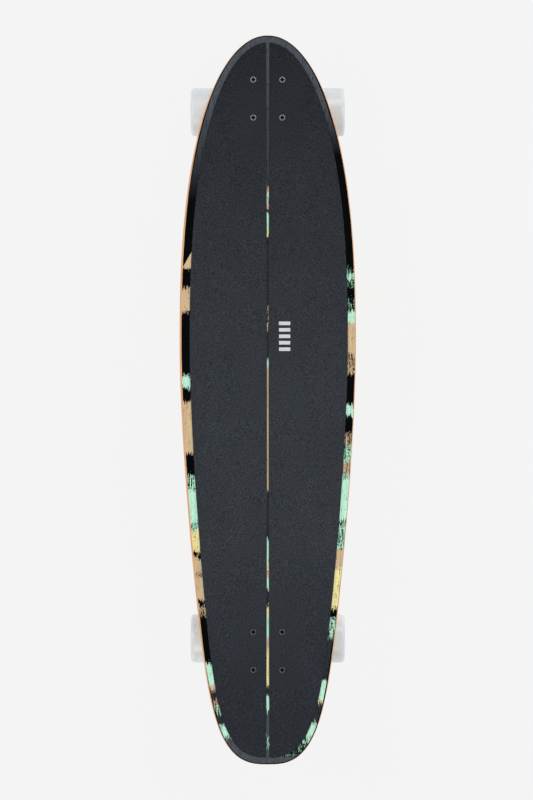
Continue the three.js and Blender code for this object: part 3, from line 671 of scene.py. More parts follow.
def plastic_material(name, colour, roughness, **values):
    """Moulded plastic or rubber with a faint orange-peel surface and uneven tone."""
    s = Surface(name, **values)
    tone = s.noise(s.stretched(90, 90, 90), detail=3.0)
    peel = s.noise(s.stretched(700, 700, 700), detail=2.0)
    shade = s.between(tone, 0.3, 0.7, 0.94, 1.05)
    s.colour(s.shaded(colour, shade))
    s.roughness(s.between(peel, 0.3, 0.7, roughness - 0.05, roughness + 0.05))
    s.bump(peel, 0.00008, 0.5)
    return s.material


def screw_material():
    """A black screw whose flat top is painted grey as a reflection, brighter at the nose as painted
    light.
    """
    s = Surface("Screw_steel", Metallic=0.4, Specular_IOR_Level=0.4)
    sheen_and_roughness = s.noise(s.stretched(900, 900, 900), detail=3.0)
    on_top = s.above(s.axis("Z"), HEAD_TOP - 0.00003)
    at_nose = s.above(s.axis("Y"), 0.0)
    # Painted reflection: the flat top gets a grey colour for the light it would reflect, lighter on the
    # nose bolts than on the tail bolts.
    top_reflection = s.mix(at_nose, linear(96, 101, 102), linear(138, 143, 144))
    top_reflection = s.shaded(top_reflection, s.between(sheen_and_roughness, 0.3, 0.7, 0.86, 1.1))
    s.colour(s.mix(on_top, linear(8, 9, 10), top_reflection))
    s.roughness(s.between(sheen_and_roughness, 0.3, 0.7, 0.34, 0.5))
    s.bump(sheen_and_roughness, 0.00003, 0.5)
    return s.material


def tyre_material():
    """Pale milky urethane: cloudy inside, with a fine ground tread and faint road dust."""
    s = Surface(
        "Tyre_urethane",
        Subsurface_Weight=0.35,
        Subsurface_Radius=(0.012, 0.012, 0.012),
        Subsurface_Scale=0.5,
        Transmission_Weight=0.02,
        IOR=1.49,
        Specular_IOR_Level=0.45,
    )
    cloud = s.noise(s.stretched(45, 45, 45), detail=3.0)
    base, _ = s.ramp(
        cloud,
        [(0.30, linear(228, 237, 246)), (0.55, linear(236, 244, 251)), (0.75, linear(242, 249, 254))],
    )
    scuff = s.noise(s.stretched(160, 600, 600), detail=3.0, roughness=0.7)
    base = s.mix(s.between(scuff, 0.62, 0.80, 0.0, 0.15), base, linear(170, 174, 176))
    s.colour(base)
    s.roughness(s.between(scuff, 0.3, 0.7, 0.16, 0.28))
    s.bump(scuff, 0.00007, 0.5)
    return s.material


def build_materials():
    return {
        "print": print_material(),
        "grip_left": grip_material("Grip_grit_left", False),
        "grip_right": grip_material("Grip_grit_right", True),
        "tyre": tyre_material(),
        "core": plastic_material("Core_plastic", linear(232, 234, 232), 0.45, Subsurface_Weight=0.1),
        "riser": plastic_material("Riser_rubber", linear(30, 31, 33), 0.75, Specular_IOR_Level=0.3),
        "cup": plastic_material("Cup_nylon", linear(34, 36, 40), 0.5),
        "bushing": plastic_material(
            "Bushing_urethane",
            linear(222, 132, 52),
            0.35,
            Subsurface_Weight=0.35,
            Subsurface_Radius=(0.006, 0.003, 0.001),
            Coat_Weight=0.25,
        ),
        "insert": plastic_material("Nut_insert_nylon", linear(226, 226, 220), 0.5),
        "seal": plastic_material("Bearing_seal", linear(26, 27, 30), 0.5),
        "cast": metal_material("Cast_aluminium", linear(196, 199, 203), 0.44, 900, 0.00010),
        "steel": metal_material("Plated_steel", linear(200, 200, 198), 0.30, 500, 0.00003),
        "race": metal_material("Bearing_steel", linear(214, 215, 217), 0.20, 700, 0.00001, 0.03),
        "screw": screw_material(),
        "black": metal_material("Black_oxide_steel", linear(28, 29, 31), 0.40, 800, 0.00004, 0.12, 0.6),
    }


MATERIALS = build_materials()


def put(drawn, matrix, name, material, body, nodes=()):
    """Puts a copy of a drawn piece in its place, on its body."""
    mesh = drawn.data.copy()
    mesh.transform(matrix)
    mesh.materials.clear()
    mesh.materials.append(MATERIALS[material])
    obj = bpy.data.objects.new(name, mesh)
    bpy.context.scene.collection.objects.link(obj)
    if body is not None:
        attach(obj, body)
    if nodes:
        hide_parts(*nodes)
    return obj


HERE = Matrix.Identity(4)


# ---------------------------------------------------------------- deck and grip

def outline_point(turn, inset):
    """A point on the right half of the outline, set in; turn is -1 at the tail and 1 at the nose."""
    sine = math.sin(turn * math.pi / 2)
    if sine >= 0:
        reach = HALF_LENGTH - WIDEST_Y - inset
        share = max(0.0, 1 - sine ** NOSE_FULLNESS) ** NOSE_ROUNDNESS
    else:
        reach = WIDEST_Y + HALF_LENGTH - inset
        narrowing = 1 - TAIL_TAPER * (-sine) ** TAIL_TAPER_POWER
        share = narrowing * max(0.0, 1 - (-sine) ** TAIL_FULLNESS) ** TAIL_ROUNDNESS
    return (HALF_WIDTH - inset) * share, WIDEST_Y + reach * sine


def ride_rise(y):
    """Rise of the deck's middle line above its truck seats."""
    nose_end = FRONT_BOLTS_Y + TRUCK_FLAT
    tail_end = REAR_BOLTS_Y - TRUCK_FLAT
    camber_front = FRONT_BOLTS_Y - TRUCK_FLAT
    camber_rear = REAR_BOLTS_Y + TRUCK_FLAT
    if y > nose_end:
        return NOSE_RISE * ((y - nose_end) / (HALF_LENGTH - nose_end)) ** 2
    if y < tail_end:
        run = tail_end - y
        bend = min(run, KICK_BEND)
        return KICK_SLOPE * (bend ** 2 / (2 * KICK_BEND) + run - bend)
    if camber_rear < y < camber_front:
        return CAMBER * math.sin(math.pi * (y - camber_rear) / (camber_front - camber_rear)) ** 2
    return 0.0


def rise(x, y):
    beyond = max(0.0, abs(x) - FLAT_STRIP / 2)
    return ride_rise(y) + CONCAVE * (beyond / (HALF_WIDTH - FLAT_STRIP / 2)) ** 2


def rail_profile(steps=5):
    """The rounded edge from the bottom face to the top face, as (inset, height) pairs."""
    turns = [math.pi / 2 * i / steps for i in range(steps + 1)]
    lower = [(BOTTOM_RAIL * (1 - math.sin(a)), BOTTOM_RAIL * (1 - math.cos(a))) for a in turns]
    upper = [(TOP_RAIL * (1 - math.cos(a)), THICKNESS - TOP_RAIL * (1 - math.sin(a))) for a in turns]
    return lower + upper


def skin(name, sections, edge_values=None):
    """Joins equal rings of corners into one closed skin that ends in points or flat caps."""
    count = len(sections[0])
    vertices = [corner for ring in sections for corner in ring]
    faces = []
    for ring in range(len(sections) - 1):
        for i in range(count):
            j = (i + 1) % count
            here, there = ring * count, (ring + 1) * count
            faces.append([here + i, here + j, there + j, there + i])
    faces.append(list(range(count)))
    faces.append([(len(sections) - 1) * count + i for i in range(count)][::-1])
    mesh = bpy.data.meshes.new(name)
    mesh.from_pydata(vertices, [], faces)
    if edge_values:
        layer = mesh.uv_layers.new(name="Edge")
        values = [value for ring in edge_values for value in ring]
        for loop in mesh.loops:
            layer.data[loop.index].uv = values[loop.vertex_index]
    obj = bpy.data.objects.new(name, mesh)
    bpy.context.scene.collection.objects.link(obj)
    face_outward(obj)
    obj.data.shade_smooth()
    return obj


def deck_sections(turns, columns):
    """Rings of corners across the deck, and each corner's (inset, share of the thickness)."""
    rails = rail_profile()
    shares = [-1 + 2 * i / columns for i in range(columns + 1)]
    sections = []
    edge_values = []
    for turn in turns:
        ring = []
        edges = []

        def corner(side_share, inset, height):
            reach, y = outline_point(turn, inset)
            x = side_share * reach
            ring.append((x, y, DECK_SEAT + height + rise(x, y)))
            edges.append((inset + (1 - abs(side_share)) * reach, height / THICKNESS))

        for share in shares:
            corner(share, BOTTOM_RAIL, 0.0)
        for inset, height in rails[1:-1]:
            corner(1, inset, height)
        for share in reversed(shares):
            corner(share, TOP_RAIL, THICKNESS)
        for inset, height in reversed(rails[1:-1]):
            corner(-1, inset, height)
        sections.append(ring)
        edge_values.append(edges)
    return sections, edge_values


def bolt_hole(name):
    """A cutter for one bolt, with a little room around it."""
    room = 0.00025
    profile = [
        (DECK_SEAT - 0.002, 0),
        (DECK_SEAT - 0.002, BOLT_RADIUS + room),
        (HEAD_TOP - BOLT_RIM - HEAD_CONE - room, BOLT_RADIUS + room),
        (HEAD_TOP - BOLT_RIM - room, BOLT_HEAD_RADIUS + room),
        (HEAD_TOP + 0.004, BOLT_HEAD_RADIUS + room),
        (HEAD_TOP + 0.004, 0),
    ]
    place = middle(name)
    hole = moved(lathe("Hole", profile, 32), X_TO_Z)
    return moved(hole, Matrix.Translation((place.x, place.y, 0)))


def make_deck():
    steps = 90
    turns = [i / steps for i in range(-steps, steps + 1)]
    sections, edges = deck_sections(turns, 36)
    board = skin("Board", sections, edges)
    cut(board, [bolt_hole(name) for name in BOLTS])
    sharp_by_angle(board, 40)
    put(board, HERE, "Deck_board", "print", "board", ["deck"])
    delete([board])


def grip_inset(turn, side):
    """Bare rim outside the grip: wider beside the middle of the board, and wider on the left."""
    fullness = max(0.0, 1 - abs(turn) ** 2.2)
    lean = max(0.0, 1 - (turn / 0.75) ** 2)
    return RIM_AT_ENDS + RIM_GROWTH * fullness - side * RIM_LEAN * lean


def make_grip(name, side):
    top = DECK_TOP + SHEET_LIFT
    columns = 22
    rows = 150
    turns = [SHEET_END * (2 * i / rows - 1) for i in range(rows + 1)]
    sections = []
    for turn in turns:
        reach, y = outline_point(turn, grip_inset(turn, side))
        inner = HALF_GAP + HALF_GAP_GROWTH * (y / HALF_LENGTH) ** 2
        outer = max(reach, inner + 0.0002)
        ring = []
        for i in range(columns + 1):
            x = side * (inner + (outer - inner) * i / columns)
            ring.append((x, y, top + rise(x, y)))
        crown = []
        for i in range(columns, -1, -1):
            x = side * (inner + (outer - inner) * i / columns)
            crown.append((x, y, top + GRIP_SHEET + rise(x, y)))
        sections.append(ring + crown)
    sheet = skin(name, sections)
    bolts = [bolt for bolt in BOLTS if middle(bolt).x * side > 0]
    cut(sheet, [bolt_hole(bolt) for bolt in bolts])
    sharp_by_angle(sheet, 40)
    put(sheet, HERE, f"{name}_sheet", name.lower(), "board", [name.lower()])
    delete([sheet])


# ---------------------------------------------------------------- fasteners

def hexagon_nut(name, low, high, across_flats, bore):
    """A hexagon with both ends turned down at its corners, and a hole, along X."""
    flat = across_flats / 2
    corner = flat / math.cos(math.pi / 6)
    blank = lathe(name, [(low, 0), (low, corner), (high, corner), (high, 0)], 6)
    chamfer = (corner - flat) * 0.8
    rounder = lathe(
        "Turning",
        [(low, 0), (low, flat - chamfer * 0.4), (low + chamfer, corner + 0.0001),
         (high - chamfer, corner + 0.0001), (high, flat - chamfer * 0.4), (high, 0)],
        48,
    )
    cut(blank, [rounder], "INTERSECT")
    if bore:
        flare = 0.0008
        hole = lathe(
            "Bore",
            [(low - 0.001, 0), (low - 0.001, bore + flare), (low + 0.0007, bore),
             (high - 0.0007, bore), (high + 0.001, bore + flare), (high + 0.001, 0)],
            48,
        )
        cut(blank, [hole])
    return sharp_by_angle(blank, 25)


def threaded(low, high, radius, pitch):
    """Profile points of a screw's thread, root and crest in turn, from one place to another."""
    turns = int((high - low) / pitch)
    step = (high - low) / turns
    root = radius - THREAD_DEPTH * pitch
    points = []
    for i in range(turns):
        points.append((low + i * step, root))
        points.append((low + (i + 0.5) * step, radius))
    points.append((high, root))
    return points


def make_deck_bolts():
    """Each bolt has a cross recess, and a lock nut with a nylon ring under the baseplate."""
    nut_top = BASEPLATE_TOP - FLANGE
    nut_low = nut_top - BOLT_NUT_HEIGHT
    hexagon_low = nut_low + 0.0012
    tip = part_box(BOLTS[0])[0][2]
    screw = lathe(
        "Screw",
        [(tip, 0), (tip, BOLT_RADIUS - 0.0005)]
        + threaded(tip + 0.0006, nut_top + 0.004, BOLT_RADIUS, 0.0008)
        + [(nut_top + 0.0045, BOLT_RADIUS), (HEAD_TOP - BOLT_RIM - HEAD_CONE, BOLT_RADIUS),
           (HEAD_TOP - BOLT_RIM, BOLT_HEAD_RADIUS), (HEAD_TOP - 0.00025, BOLT_HEAD_RADIUS),
           (HEAD_TOP, BOLT_HEAD_RADIUS - 0.0005), (HEAD_TOP, 0)],
        40,
    )
    moved(screw, X_TO_Z)
    slots = []
    for turn in (0, math.pi / 2):
        reach, half_width, depth = 0.0032, 0.0008, 0.0022
        outline = [(-reach, -half_width), (reach, -half_width), (reach, half_width), (-reach, half_width)]
        slot = prism("Slot", outline, HEAD_TOP - depth, HEAD_TOP + 0.001)
        slots.append(moved(slot, Matrix.Rotation(turn, 4, "Z")))
    pit = moved(
        lathe("Pit", [(HEAD_TOP - 0.0028, 0), (HEAD_TOP - 0.0023, 0.0008), (HEAD_TOP, 0.0026),
                      (HEAD_TOP + 0.001, 0.0026), (HEAD_TOP + 0.001, 0)], 24),
        X_TO_Z,
    )
    cut(screw, [*slots, pit])
    sharp_by_angle(screw, 30)
    nut = moved(hexagon_nut("Nut", hexagon_low, nut_top, BOLT_NUT_FLATS, BOLT_RADIUS), X_TO_Z)
    collar = [(hexagon_low, 0.0039), (nut_low + 0.0003, 0.0039), (nut_low, 0.0035), (nut_low, 0.0027),
              (hexagon_low, 0.0027)]
    ring = moved(lathe("Collar", collar, 40, closed=True), X_TO_Z)
    sharp_by_angle(ring, 30)
    for name in BOLTS:
        place = middle(name)
        for source, suffix, material, nodes, slot in (
            (screw, "_screw", "screw", [name], None),
            (nut, "_nut", "black", [], "black_steel"),
            (ring, "_nut_ring", "insert", [], "black_steel"),
        ):
            spot = Matrix.Translation((place.x, place.y, 0))
            put(source, spot, f"{name.capitalize()}{suffix}", material, "board", nodes)
    delete([screw, nut, ring])


# ---------------------------------------------------------------- trucks

def truck_frames(truck):
    """The truck's own frame, its steering frame and its level axle frame, in the row frame."""
    y = FRONT_BOLTS_Y if truck == "front" else REAR_BOLTS_Y
    turn = 0.0 if truck == "front" else math.pi
    base = Matrix.Translation((0, y, BASEPLATE_TOP)) @ Matrix.Rotation(turn, 4, "Z")
    steering = base @ Matrix.Translation(PIVOT) @ Matrix.Rotation(STEERING_ANGLE, 4, "X")
    level = steering @ Matrix.Translation((0, AXLE_REACH, -AXLE_RAKE))
    level = level @ Matrix.Rotation(-STEERING_ANGLE, 4, "X")
    return base, steering, level


def in_truck(along, above):
    """A place in the steering frame's middle plane as (y, z) in the truck frame."""
    y = PIVOT.y + along * math.cos(STEERING_ANGLE) - above * math.sin(STEERING_ANGLE)
    z = PIVOT.z + along * math.sin(STEERING_ANGLE) + above * math.cos(STEERING_ANGLE)
    return y, z


SIDE_TO_TRUCK = Matrix(((0, 0, 1, 0), (1, 0, 0, 0), (0, 1, 0, 0), (0, 0, 0, 1)))


def side_plate(name, corners, width):
    """A side view of (y, z) corners, extruded across X about the middle plane."""
    return moved(prism(name, corners, -width / 2, width / 2), SIDE_TO_TRUCK)


FLANGE_OUTBOARD = 0.03649
FLANGE_INBOARD = -0.04601
FLANGE_HALF_WIDTH = 0.028
FLANGE_CORNER = 0.008
HOLES_X = 0.02064
HOLES_Y = (0.02699, -0.02699, -0.03651)
FLANGE = 0.006
KINGPIN_RADIUS = 0.00475
KINGPIN_FLATS = 0.0143  # across the flats of its head and its nut
HEAD_SEAT = 0.0282  # along the kingpin from the hanger's ring, towards the board
HEAD_HEIGHT = 0.0060
NUT_SEAT = -0.0180
NUT_END = -0.0243
NUT_RING_END = -0.0256
TO_TRUCK = Matrix.Translation(PIVOT) @ Matrix.Rotation(STEERING_ANGLE, 4, "X")
AT_KINGPIN = Matrix.Translation((0, KINGPIN_REACH, 0))
AT_AXLE = Matrix.Translation((0, AXLE_REACH, -AXLE_RAKE))


def flange_outline():
    half = FLANGE_HALF_WIDTH
    return rounded_rectangle(-half, half, FLANGE_INBOARD, FLANGE_OUTBOARD, FLANGE_CORNER)


def draw_riser():
    outline = flange_outline()
    pad = prism("Pad", outline, 0.00005, 0.0035)
    cutters = [prism("Window", rounded_rectangle(-0.011, 0.011, -0.034, 0.018, 0.004), -0.001, 0.005)]
    for x in (-HOLES_X, HOLES_X):
        for y in HOLES_Y:
            hole = moved(shaft(-0.001, 0.005, 0.0028, 24), X_TO_Z)
            cutters.append(moved(hole, Matrix.Translation((x, y, 0))))
    cut(pad, cutters)
    return soft_edges(pad, 0.0005, 2)


def draw_baseplate():
    """A casting with a flange, a wedge with a hollow back and a pivot tower."""
    outline = flange_outline()
    flange = prism("Flange", outline, -FLANGE, 0)
    tower_radius = 0.0115
    seat = 0.0202
    seat_half = 0.0148
    seat_out = in_truck(KINGPIN_REACH + seat_half, seat)
    wedge = side_plate(
        "Wedge",
        [(FLANGE_INBOARD + 0.0008, -0.001), (FLANGE_INBOARD + 0.0006, -FLANGE),
         in_truck(-0.005, tower_radius), in_truck(-0.005, 0), in_truck(0.002, 0),
         in_truck(0.002, 0.0108),
         in_truck(KINGPIN_REACH - seat_half - 0.002, 0.0108), in_truck(KINGPIN_REACH - seat_half, seat),
         seat_out, (seat_out[0] + 0.008, -FLANGE + 0.001), (seat_out[0] + 0.008, -0.001)],
        0.0286,
    )
    tower = lathe(
        "Tower",
        [(-0.0115, 0), (-0.0115, 0.008), (-0.0085, tower_radius), (0.0028, tower_radius), (0.0028, 0)],
        48,
    )
    moved(tower, TO_TRUCK @ X_TO_Y)
    plate = cast("Plate", [flange, wedge, tower], 0.0008, 10)

    cup_bore = moved(shaft(-0.0087, 0.02, 0.0083, 48), TO_TRUCK @ X_TO_Y)
    pin_hole = moved(shaft(0.014, 0.034, 0.0049, 48), TO_TRUCK @ AT_KINGPIN @ X_TO_Z)
    head_half = 0.0091
    head_in = in_truck(KINGPIN_REACH - head_half, HEAD_SEAT)
    head_out = in_truck(KINGPIN_REACH + head_half, HEAD_SEAT)
    back = FLANGE_INBOARD + 0.0045
    slope = math.cos(STEERING_ANGLE) / math.sin(STEERING_ANGLE)
    hollow = side_plate(
        "Hollow",
        [head_in, head_out, (head_out[0], 0.002), (back, 0.002),
         (back, head_in[1] + (head_in[0] - back) * slope)],
        2 * head_half,
    )
    cutters = [cup_bore, pin_hole, hollow]
    for x in (-HOLES_X, HOLES_X):
        for y in HOLES_Y:
            spot = Matrix.Translation((x, y, 0)) @ X_TO_Z
            cutters.append(moved(shaft(-0.01, 0.002, 0.0027, 24), spot))
            cutters.append(moved(shaft(-0.01, -0.0059, 0.0062), spot))
    cut(plate, cutters)
    return sharp_by_angle(plate, 40)


def draw_pivot_cup():
    profile = [(-0.0083, 0), (-0.0083, 0.0072), (-0.0075, 0.0080), (0.0022, 0.0080), (0.0032, 0.0086),
               (0.0036, 0.0083), (0.0036, 0.0066), (0.0030, 0.0063), (-0.004, 0.0063)]
    profile += [(-x, y) for x, y in arc((0, 0), 0.0063, 50, 0, 5)]
    cup = moved(lathe("Cup", profile, 48), X_TO_Y)
    return sharp_by_angle(cup, 35)


def draw_kingpin():
    radius = KINGPIN_RADIUS
    head = hexagon_nut("Head", HEAD_SEAT, HEAD_SEAT + HEAD_HEIGHT, KINGPIN_FLATS, 0)
    shank = lathe(
        "Shank",
        [(-0.0280, 0), (-0.0280, radius - 0.0009)] + threaded(-0.0272, -0.0160, radius, 0.0011)
        + [(-0.0155, radius - 0.0001), (0.029, radius - 0.0001), (0.029, 0)],
        48,
    )
    return sharp_by_angle(join("Kingpin", [head, shank]), 30)


def draw_nut_ring(low, high, inner, outer):
    """The nylon ring that stands out of a lock nut; high may be below low."""
    step = 0.0003 if high > low else -0.0003
    section = [(low, outer), (high - step, outer), (high, outer - 0.0003), (high, inner), (low, inner)]
    return sharp_ring("Ring", section, angle=30)


KINGPIN_BORE = 0.0050  # through the cups and the bushings

# Half sections of the turned pieces on the kingpin, as (along, radius) pairs from the hanger's ring.
BOARD_CUP = [
    (0.0180, KINGPIN_BORE), (0.0180, 0.0105), (0.0166, 0.0128), (0.0168, 0.0134), (0.0176, 0.0135),
    (0.0199, 0.0112), (0.0200, KINGPIN_BORE),
]
ROAD_CUP = [
    (-0.0163, KINGPIN_BORE), (-0.0163, 0.0088), (-0.0152, 0.0106), (-0.0155, 0.0110),
    (-0.0162, 0.0110), (-0.0179, 0.0094), (-0.0179, KINGPIN_BORE),
]
BOARD_BUSHING = [
    (0.0042, KINGPIN_BORE), (0.0042, 0.0111), (0.0048, 0.0120), (0.0060, 0.0123), (0.0110, 0.0119),
    (0.0161, 0.0123), (0.0173, 0.0120), (0.0179, 0.0111), (0.0179, KINGPIN_BORE),
]
ROAD_BUSHING = [
    (-0.0042, KINGPIN_BORE), (-0.0042, 0.0111), (-0.0048, 0.0120), (-0.0060, 0.0121),
    (-0.0150, 0.0102), (-0.0158, 0.0098), (-0.0162, 0.0090), (-0.0162, KINGPIN_BORE),
]


def draw_bushing(profile):
    """Turned urethane with enough rings along it to bend between its two ends."""
    rows = []
    for first, second in zip(profile, profile[1:]):
        steps = 5 if abs(first[0] - second[0]) > 0.003 else 1
        for i in range(steps):
            share = i / steps
            rows.append(tuple(a + (b - a) * share for a, b in zip(first, second)))
    rows.append(profile[-1])
    run = profile[0][0] - profile[-1][0]
    bore = [(profile[-1][0] + run * i / 6, KINGPIN_BORE) for i in range(1, 6)]
    return sharp_ring("Bushing", rows + bore, 64, 50)


def draw_hanger():
    """A cast beam with swept wings, a ring for the kingpin and a stub with the pivot ball."""
    beam_radius = 0.0095
    wing_end = HANGER_END - 0.004
    beam = lathe(
        "Beam",
        [(-HANGER_END, 0), (-HANGER_END, beam_radius - 0.0020), (-wing_end, beam_radius - 0.0009),
         (0, beam_radius), (wing_end, beam_radius - 0.0009), (HANGER_END, beam_radius - 0.0020),
         (HANGER_END, 0)],
        48,
    )
    moved(beam, AT_AXLE)
    ring_radius = 0.0152
    ring_half = 0.0041
    ring_end = KINGPIN_REACH + ring_radius
    start = AXLE_REACH - beam_radius + 0.0015
    side = side_plate(
        "Side",
        [(ring_end, -ring_half), (ring_end, ring_half), (AXLE_REACH + 0.010, ring_half),
         (start, -AXLE_RAKE + 0.005), (start, -AXLE_RAKE - 0.005),
         (AXLE_REACH + 0.005, -AXLE_RAKE - 0.008),
         (KINGPIN_REACH - ring_radius + 0.001, -ring_half)],
        2 * wing_end,
    )
    right = [(0.009, start), (wing_end, AXLE_REACH - 0.0052), (wing_end, AXLE_REACH + 0.0052),
             (wing_end * 0.56, AXLE_REACH + 0.0085), (ring_radius + 0.007, AXLE_REACH + 0.0125),
             (ring_radius, KINGPIN_REACH - 0.006)]
    left = [(-x, y) for x, y in reversed(right)]
    plan = right + arc((0, KINGPIN_REACH), ring_radius, 0, 180, 24) + left
    cut(side, [prism("Plan", plan, -0.03, 0.03)], "INTERSECT")
    ball = 0.006
    stub = lathe(
        "Stub",
        [(-x, y) for x, y in arc((0, 0), ball, 0, 90, 6)]
        + [(0.003, ball - 0.0007), (0.005, ball - 0.0004), (AXLE_REACH - 0.004, ball + 0.0016),
           (AXLE_REACH, ball), (AXLE_REACH, 0)],
        48,
    )
    moved(stub, X_TO_Y)
    body = cast("Hanger", [beam, side, stub], 0.0007, 14)

    cutters = [
        moved(shaft(-0.08, 0.08, 0.00405, 48), AT_AXLE),
        moved(shaft(-0.012, 0.012, 0.0077, 64), AT_KINGPIN @ X_TO_Z),
    ]
    for low, high in ((0.0039, 0.012), (-0.012, -0.0039)):
        cutters.append(moved(shaft(low, high, 0.0131, 64), AT_KINGPIN @ X_TO_Z))
    for low, high in ((HANGER_END - 0.0002, 0.09), (-0.09, -HANGER_END + 0.0002)):
        cutters.append(moved(shaft(low, high, 0.02), AT_AXLE))
    cut(body, cutters)
    return sharp_by_angle(body, 40)


def draw_axle():
    radius = 0.004
    end = AXLE_HALF_LENGTH
    half = [(0.0, radius - 0.00005), (0.0945, radius - 0.00005)]
    half += threaded(0.0955, end - 0.0012, radius, 0.00106)
    half += [(end - 0.0006, radius - 0.0004), (end, radius - 0.0012), (end, 0)]
    profile = [(-x, r) for x, r in reversed(half)] + half[1:]
    return sharp_by_angle(lathe("Axle", profile, 40), 30)


# ---------------------------------------------------------------- wheels

def tyre_profile():
    inner = WHEEL_MIDDLE - WHEEL_HALF_WIDTH
    outer = WHEEL_MIDDLE + WHEEL_HALF_WIDTH
    lip = 0.0055
    points = [(CORE_MIDDLE - CORE_HALF + 0.0004, 0.0176), (CORE_MIDDLE - CORE_HALF - 0.0004, 0.0186)]
    points += [(inner + 0.0012, 0.0205), (inner + 0.0003, 0.0218), (inner, 0.0236)]
    points += arc((inner + lip, WHEEL_RADIUS - lip), lip, 180, 90, 9)
    points += arc((outer - lip, WHEEL_RADIUS - lip), lip, 90, 0, 9)
    points += [(outer, 0.0262), (outer - 0.0004, 0.0240), (outer - 0.0016, 0.0222),
               (outer - 0.0080, 0.0192), (CORE_MIDDLE + CORE_HALF + 0.0004, 0.0184),
               (CORE_MIDDLE + CORE_HALF - 0.0004, 0.0176)]
    return points


def draw_core():
    """A hub with a bearing seat in each end, and ribs between its two tubes."""
    low, high = CORE_MIDDLE - CORE_HALF, CORE_MIDDLE + CORE_HALF
    seat, shoulder = 0.01105, 0.0090
    web_low, web_high = CORE_MIDDLE - 0.0045, CORE_MIDDLE + 0.0045
    shoulder_half = 0.005
    bevel = 0.0003
    hub, rim, outside = 0.0134, 0.0153, 0.0175
    profile = [
        (low, seat), (low, hub - bevel), (low + bevel, hub), (web_low, hub), (web_low, rim),
        (low + bevel, rim), (low, rim + bevel), (low, outside - bevel), (low + bevel, outside),
        (high - bevel, outside), (high, outside - bevel), (high, rim + bevel), (high - bevel, rim),
        (web_high, rim), (web_high, hub),
        (high - bevel, hub), (high, hub - bevel), (high, seat), (CORE_MIDDLE + shoulder_half, seat),
        (CORE_MIDDLE + shoulder_half, shoulder), (CORE_MIDDLE - shoulder_half, shoulder),
        (CORE_MIDDLE - shoulder_half, seat),
    ]
    tubes = lathe("Tubes", profile, 96, closed=True)
    ribs = []
    count = 12
    for i in range(count):
        outline = rounded_rectangle(low + 0.0008, high - 0.0008, hub - 0.0006, rim + 0.0005, bevel, 2)
        rib = prism("Rib", outline, -0.0005, 0.0005)
        ribs.append(moved(rib, Matrix.Rotation(2 * math.pi * i / count, 4, "X")))
    return sharp_by_angle(join("Core", [tubes, *ribs]), 35)


def draw_bearing():
    """The outer race, the inner race and the two seals of one ball bearing, from X = 0 outwards."""
    high = 0.007
    outer = [(0, 0.0098), (0, 0.0107), (0.0003, 0.0110), (high - 0.0003, 0.0110), (high, 0.0107),
             (high, 0.0098), (high - 0.0006, 0.0095), (0.0006, 0.0095)]
    inner = [(0, 0.0043), (0, 0.0055), (0.0005, 0.0058), (high - 0.0005, 0.0058), (high, 0.0055),
             (high, 0.0043), (high - 0.0003, 0.00405), (0.0003, 0.00405)]
    steps = [(0.0004, 0.0060), (0.0002, 0.0068), (0.0005, 0.0076), (0.0002, 0.0086), (0.0004, 0.0096)]
    seals = []
    for place, into in ((0, 1), (high, -1)):
        front = [(place + into * depth, radius) for depth, radius in steps]
        back = [(place + into * 0.0010, radius) for _, radius in reversed(steps)]
        seals.append(lathe("Seal", front + back, 64, closed=True))
    races = [lathe("Outer", outer, 64, closed=True), lathe("Inner", inner, 48, closed=True)]
    return [sharp_by_angle(part, 35) for part in (*races, join("Seals", seals))]


def draw_collar(low, high, inner, outer, bevel):
    """A washer or a spacer, with its outer corners cut off."""
    section = [(low, inner), (low, outer - bevel), (low + bevel, outer), (high - bevel, outer),
               (high, outer - bevel), (high, inner)]
    return sharp_ring("Collar", section)


# ---------------------------------------------------------------- the trucks and wheels in place

NUT_START = CORE_MIDDLE + CORE_HALF + 0.001
OUTER_BEARING = CORE_MIDDLE + 0.005
INNER_BEARING = CORE_MIDDLE - CORE_HALF

DRAWN = {
    "riser": draw_riser(),
    "baseplate": draw_baseplate(),
    "pivot_cup": draw_pivot_cup(),
    "kingpin": draw_kingpin(),
    "kingpin_nut": hexagon_nut("Nut", NUT_END, NUT_SEAT, KINGPIN_FLATS, KINGPIN_RADIUS),
    "kingpin_ring": draw_nut_ring(NUT_END, NUT_RING_END, KINGPIN_BORE, 0.0064),
    "board_cup": sharp_ring("Cup", BOARD_CUP, 64, 45),
    "road_cup": sharp_ring("Cup", ROAD_CUP, 64, 45),
    "board_bushing": draw_bushing(BOARD_BUSHING),
    "road_bushing": draw_bushing(ROAD_BUSHING),
    "hanger": draw_hanger(),
    "axle": draw_axle(),
    "tyre": sharp_ring("Tyre", tyre_profile(), 128, 50),
    "core": draw_core(),
    "spacer": draw_collar(CORE_MIDDLE - 0.0049, CORE_MIDDLE + 0.0049, 0.0042, 0.0060, 0.0003),
    "washer": draw_collar(0.00008, 0.00092, 0.0042, 0.0064, 0.0002),
    "axle_nut": hexagon_nut("Nut", NUT_START, NUT_START + 0.0048, 0.0127, 0.004),
    "axle_ring": draw_nut_ring(NUT_START + 0.0048, NUT_START + 0.0059, 0.0043, 0.0054),
}
DRAWN["outer_race"], DRAWN["inner_race"], DRAWN["seals"] = draw_bearing()


